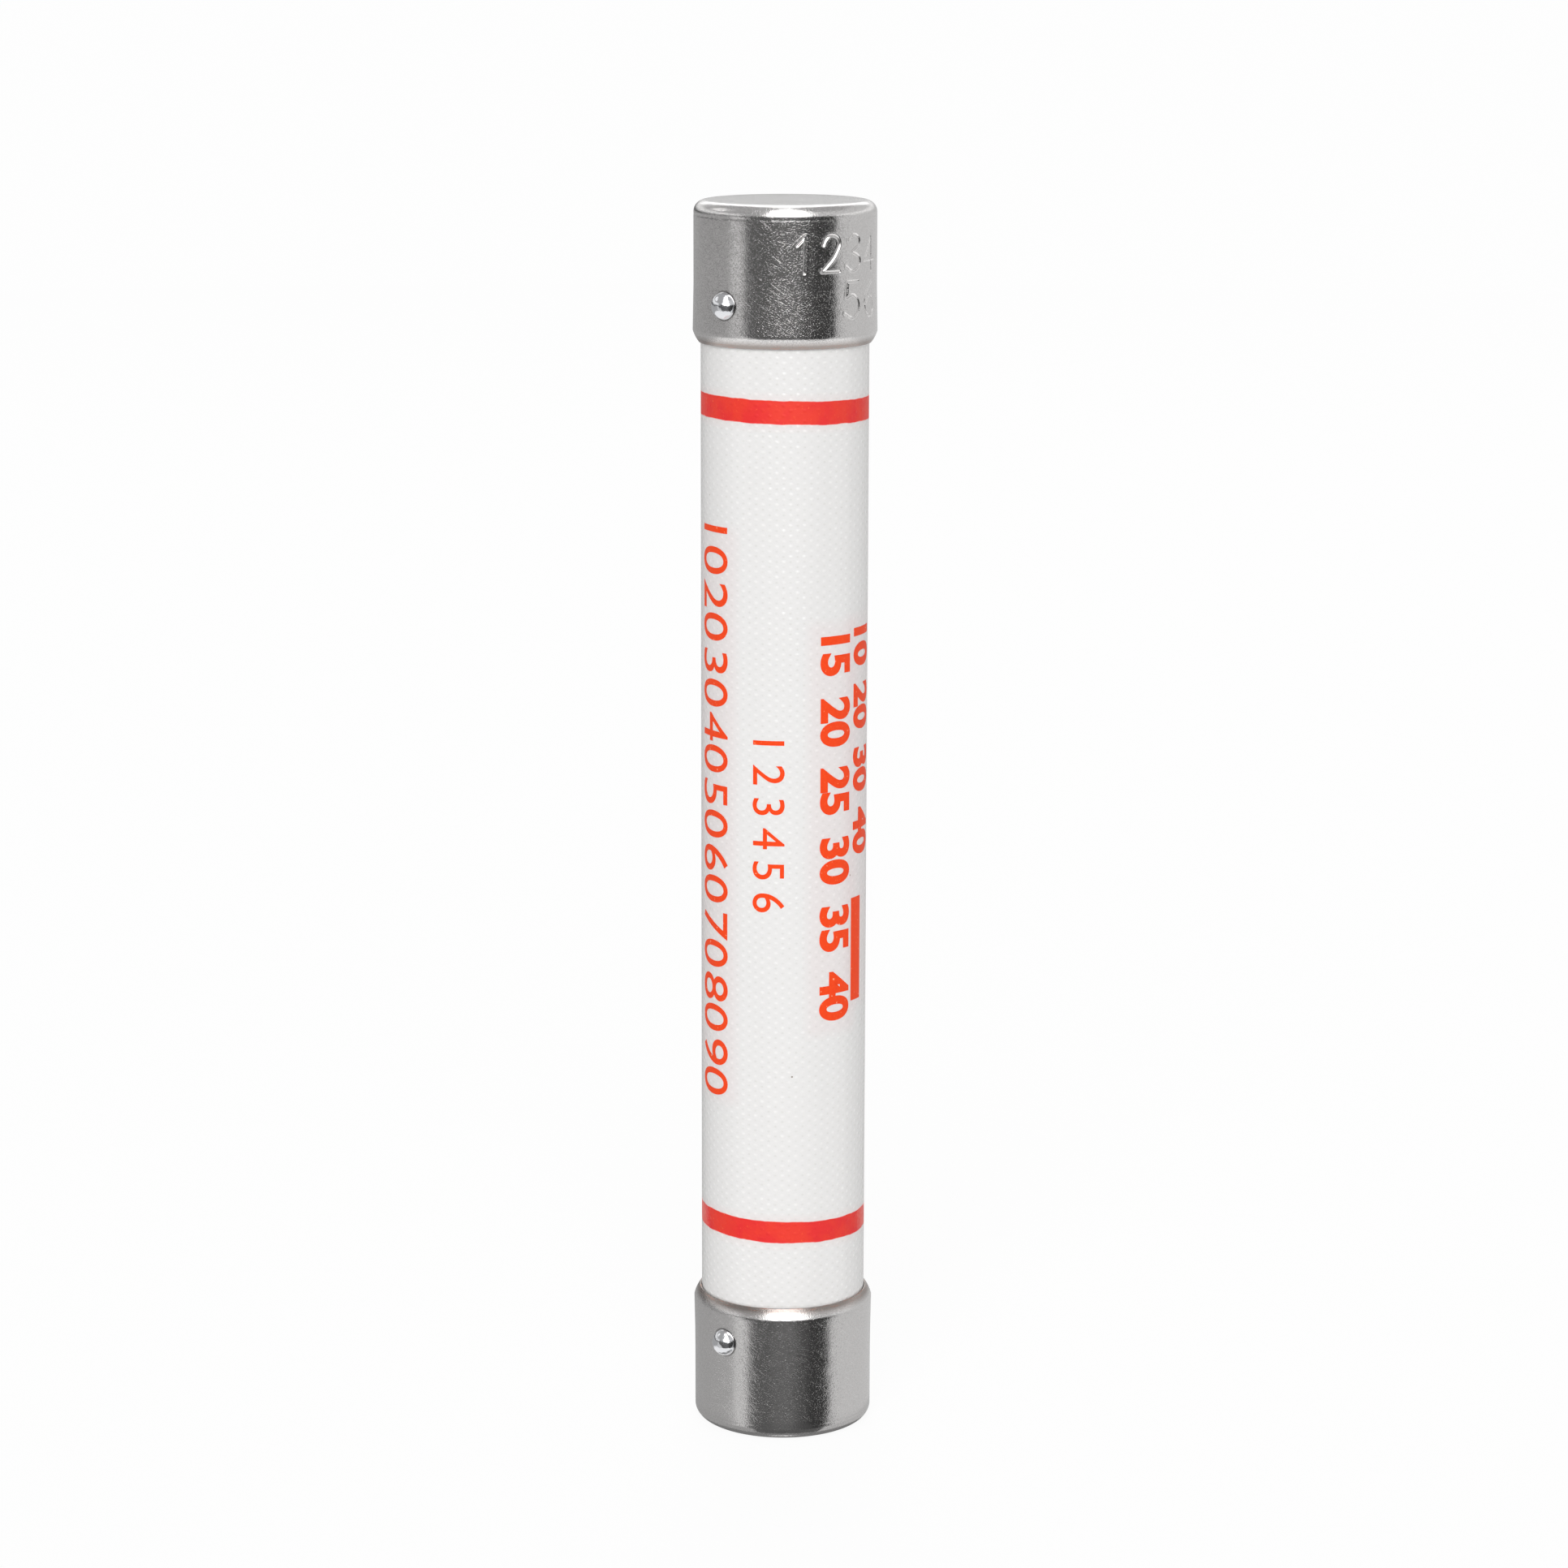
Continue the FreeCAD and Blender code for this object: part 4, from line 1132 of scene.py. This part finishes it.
# %% [markdown]
# ## Light and ground
# The picture is lit like a catalogue picture. A broad soft lamp stands behind the camera, a
# weaker one stands behind the fuse, and the white room fills the shadows. Metal shows what stands
# round it, so a few cards stand there too, seen only in reflections: grey walls, a dark flag in
# front with darker folds, lights above it, and a soft box overhead. The foot cards stand in for
# what the lower edge would reflect of the ground.

# %% Room, floor and lamps
ROOM_LIGHT = 0.46
FLOOR_SIZE = 14.0
FLOOR_WHITE = 0.92
LAMP_SPREAD = math.radians(40)
LAMP_PLACE = 2.0
LAMPS = (("key_lamp", -4, 35, 1.66), ("back_lamp", 180, 35, 0.6))


def make_room():
    world = bpy.data.worlds.new("white_room")
    world.use_nodes = True
    tree = world.node_tree
    tree.nodes.clear()
    rays = add(tree, "LightPath").outputs
    seen = add(
        tree, "Math", {0: rays["Is Camera Ray"], 1: rays["Is Glossy Ray"]},
        operation="MAXIMUM",
    ).outputs[0]
    shown = add(
        tree, "Math", {0: seen, 1: rays["Is Transmission Ray"]}, operation="MAXIMUM",
    ).outputs[0]
    fill = add(tree, "Background", {"Strength": ROOM_LIGHT}).outputs[0]
    white = add(tree, "Background", {"Strength": 1.0}).outputs[0]
    for background in (fill.node, white.node):
        background.inputs["Color"].default_value = (1, 1, 1, 1)
    mixed = add(tree, "MixShader", {0: shown, 1: fill, 2: white}).outputs[0]
    add(tree, "OutputWorld", {"Surface": mixed})
    bpy.context.scene.world = world


def make_floor():
    bpy.ops.object.select_all(action="DESELECT")
    bpy.ops.mesh.primitive_plane_add(size=FLOOR_SIZE, location=(0, 0, 0))
    floor = bpy.context.object
    floor.name = "floor"
    material, tree, shader = new_material("pale_floor")
    shader.inputs["Base Color"].default_value = srgb("F8F8F8")
    shader.inputs["Roughness"].default_value = 0.9
    camera_ray = add(tree, "LightPath").outputs["Is Camera Ray"]
    share = add(tree, "Math", {0: camera_ray, 1: FLOOR_WHITE}, operation="MULTIPLY").outputs[0]
    glow = add(tree, "Emission", {"Strength": 1.0}).outputs[0]
    mixed = add(
        tree, "MixShader", {0: share, 1: shader.outputs[0], 2: glow},
    ).outputs[0]
    tree.links.new(mixed, tree.nodes["Material Output"].inputs["Surface"])
    floor.data.materials.append(material)
    floor.visible_glossy = False


def make_lamp(name, degrees, elevation, strength):
    """A soft, far lamp, as many degrees to the right of the camera and up."""
    angle = math.radians(degrees)
    bpy.ops.object.light_add(type="SUN", location=round_the_fuse(angle, LAMP_PLACE, LAMP_PLACE))
    lamp = bpy.context.object
    lamp.name = name
    lamp.data.energy = strength
    lamp.data.angle = LAMP_SPREAD
    lamp.rotation_euler = (math.radians(90 - elevation), 0, CAMERA_AZIMUTH + angle)
    lamp.visible_glossy = False


make_room()
make_floor()
for lamp_values in LAMPS:
    make_lamp(*lamp_values)
print("lamps:", len(LAMPS))


# %% The cards that only reflections see
CARD_COLUMNS, CARD_ROWS = 24, 4
# name, left and right edge, low and high edge, low and high radius, brightness, and for a card
# that leans over sideways its left and right edge at the top
CARDS = (
    ("left_wall", (-180, 0), (-0.8, 1.6), (1.50, 1.50), 0.40),
    ("right_wall", (0, 180), (-0.8, 1.6), (1.50, 1.50), 0.62),
    ("back_opening", (140, 220), (0.10, 1.3), (1.45, 1.45), 0.58),
    ("left_lights", (-178, -52), (0.37, 0.66), (1.42, 1.42), 0.95, (-178, -60)),
    ("right_lights", (66, 178), (0.37, 0.66), (1.42, 1.42), 0.95, (72, 178)),
    ("left_strip", (-62, -38), (-0.9, 0.5), (1.45, 1.45), 0.66, (-78, -54)),
    ("left_window", (-122, -94), (0.85, 1.5), (1.40, 1.40), 1.1),
    ("left_horizon", (-175, -39), (0.11, 0.26), (1.40, 1.40), 0.10, (-175, -50)),
    ("dark_flag", (-39, 61), (-1.0, 0.33), (1.40, 1.40), 0.11, (-56, 69)),
    ("darker_fold", (21, 60), (-1.0, 0.33), (1.385, 1.385), 0.08, (23, 67)),
    ("dark_middle", (-14, 16), (-1.0, 0.33), (1.39, 1.39), 0.14),
    ("darkest_fold", (33, 60), (-1.0, 0.33), (1.38, 1.38), 0.042, (35, 67)),
    ("soft_box", (-22, 30), (0.34, 1.5), (1.38, 1.38), 3.5),
    ("soft_box_top", (-22, 30), (1.5, 1.5), (1.38, 0.0), 3.1),
    ("back_strip", (158, 202), (0.55, 1.5), (1.38, 1.38), 1.6),
    ("back_strip_top", (158, 202), (1.5, 1.5), (1.38, 0.0), 1.6),
    ("foot_left", (-180, -22), (-0.004, 0.0004), (0.0125, 0.0125), 0.38),
    ("foot_dark", (-22, 33), (-0.004, 0.0004), (0.0125, 0.0125), 0.11),
    ("foot_right", (33, 180), (-0.004, 0.0004), (0.0125, 0.0125), 0.52),
    ("foot_shadow", (-180, 180), (-0.1, -0.004), (0.0125, 0.0125), 0.22),
)


def show_in_reflections(card, brightness):
    material = bpy.data.materials.new(card.name)
    material.use_nodes = True
    tree = material.node_tree
    tree.nodes.clear()
    light = add(tree, "Emission", {"Strength": brightness}).outputs[0]
    add(tree, "OutputMaterial", {"Surface": light})
    card.data.materials.append(material)
    card.visible_camera = False
    card.visible_diffuse = False
    card.visible_transmission = False
    card.visible_shadow = False


def make_ceiling(radius, height, brightness):
    """A grey disc overhead, so that the top corner doesn't reflect plain white all round."""
    bpy.ops.object.select_all(action="DESELECT")
    bpy.ops.mesh.primitive_circle_add(radius=radius, fill_type="NGON", location=(0, 0, height))
    ceiling = bpy.context.object
    ceiling.name = "ceiling"
    show_in_reflections(ceiling, brightness)


def make_card(name, bottom, heights, radii, brightness, top=None):
    """A bent card. bottom and top hold its left and right edge, in degrees from the camera."""
    top = top or bottom
    bpy.ops.object.select_all(action="DESELECT")
    bpy.ops.mesh.primitive_grid_add(x_subdivisions=CARD_COLUMNS, y_subdivisions=CARD_ROWS, size=1.0)
    card = bpy.context.object
    card.name = name
    for vertex in card.data.vertices:
        across, up = vertex.co.x + 0.5, vertex.co.y + 0.5
        low_angle = bottom[0] + (bottom[1] - bottom[0]) * across
        high_angle = top[0] + (top[1] - top[0]) * across
        angle = math.radians(low_angle + (high_angle - low_angle) * up)
        radius = radii[0] + (radii[1] - radii[0]) * up
        vertex.co = round_the_fuse(angle, radius, heights[0] + (heights[1] - heights[0]) * up)
    show_in_reflections(card, brightness)


make_ceiling(radius=1.5, height=1.6, brightness=0.42)
for card_values in CARDS:
    make_card(*card_values)
print("cards:", len(CARDS))
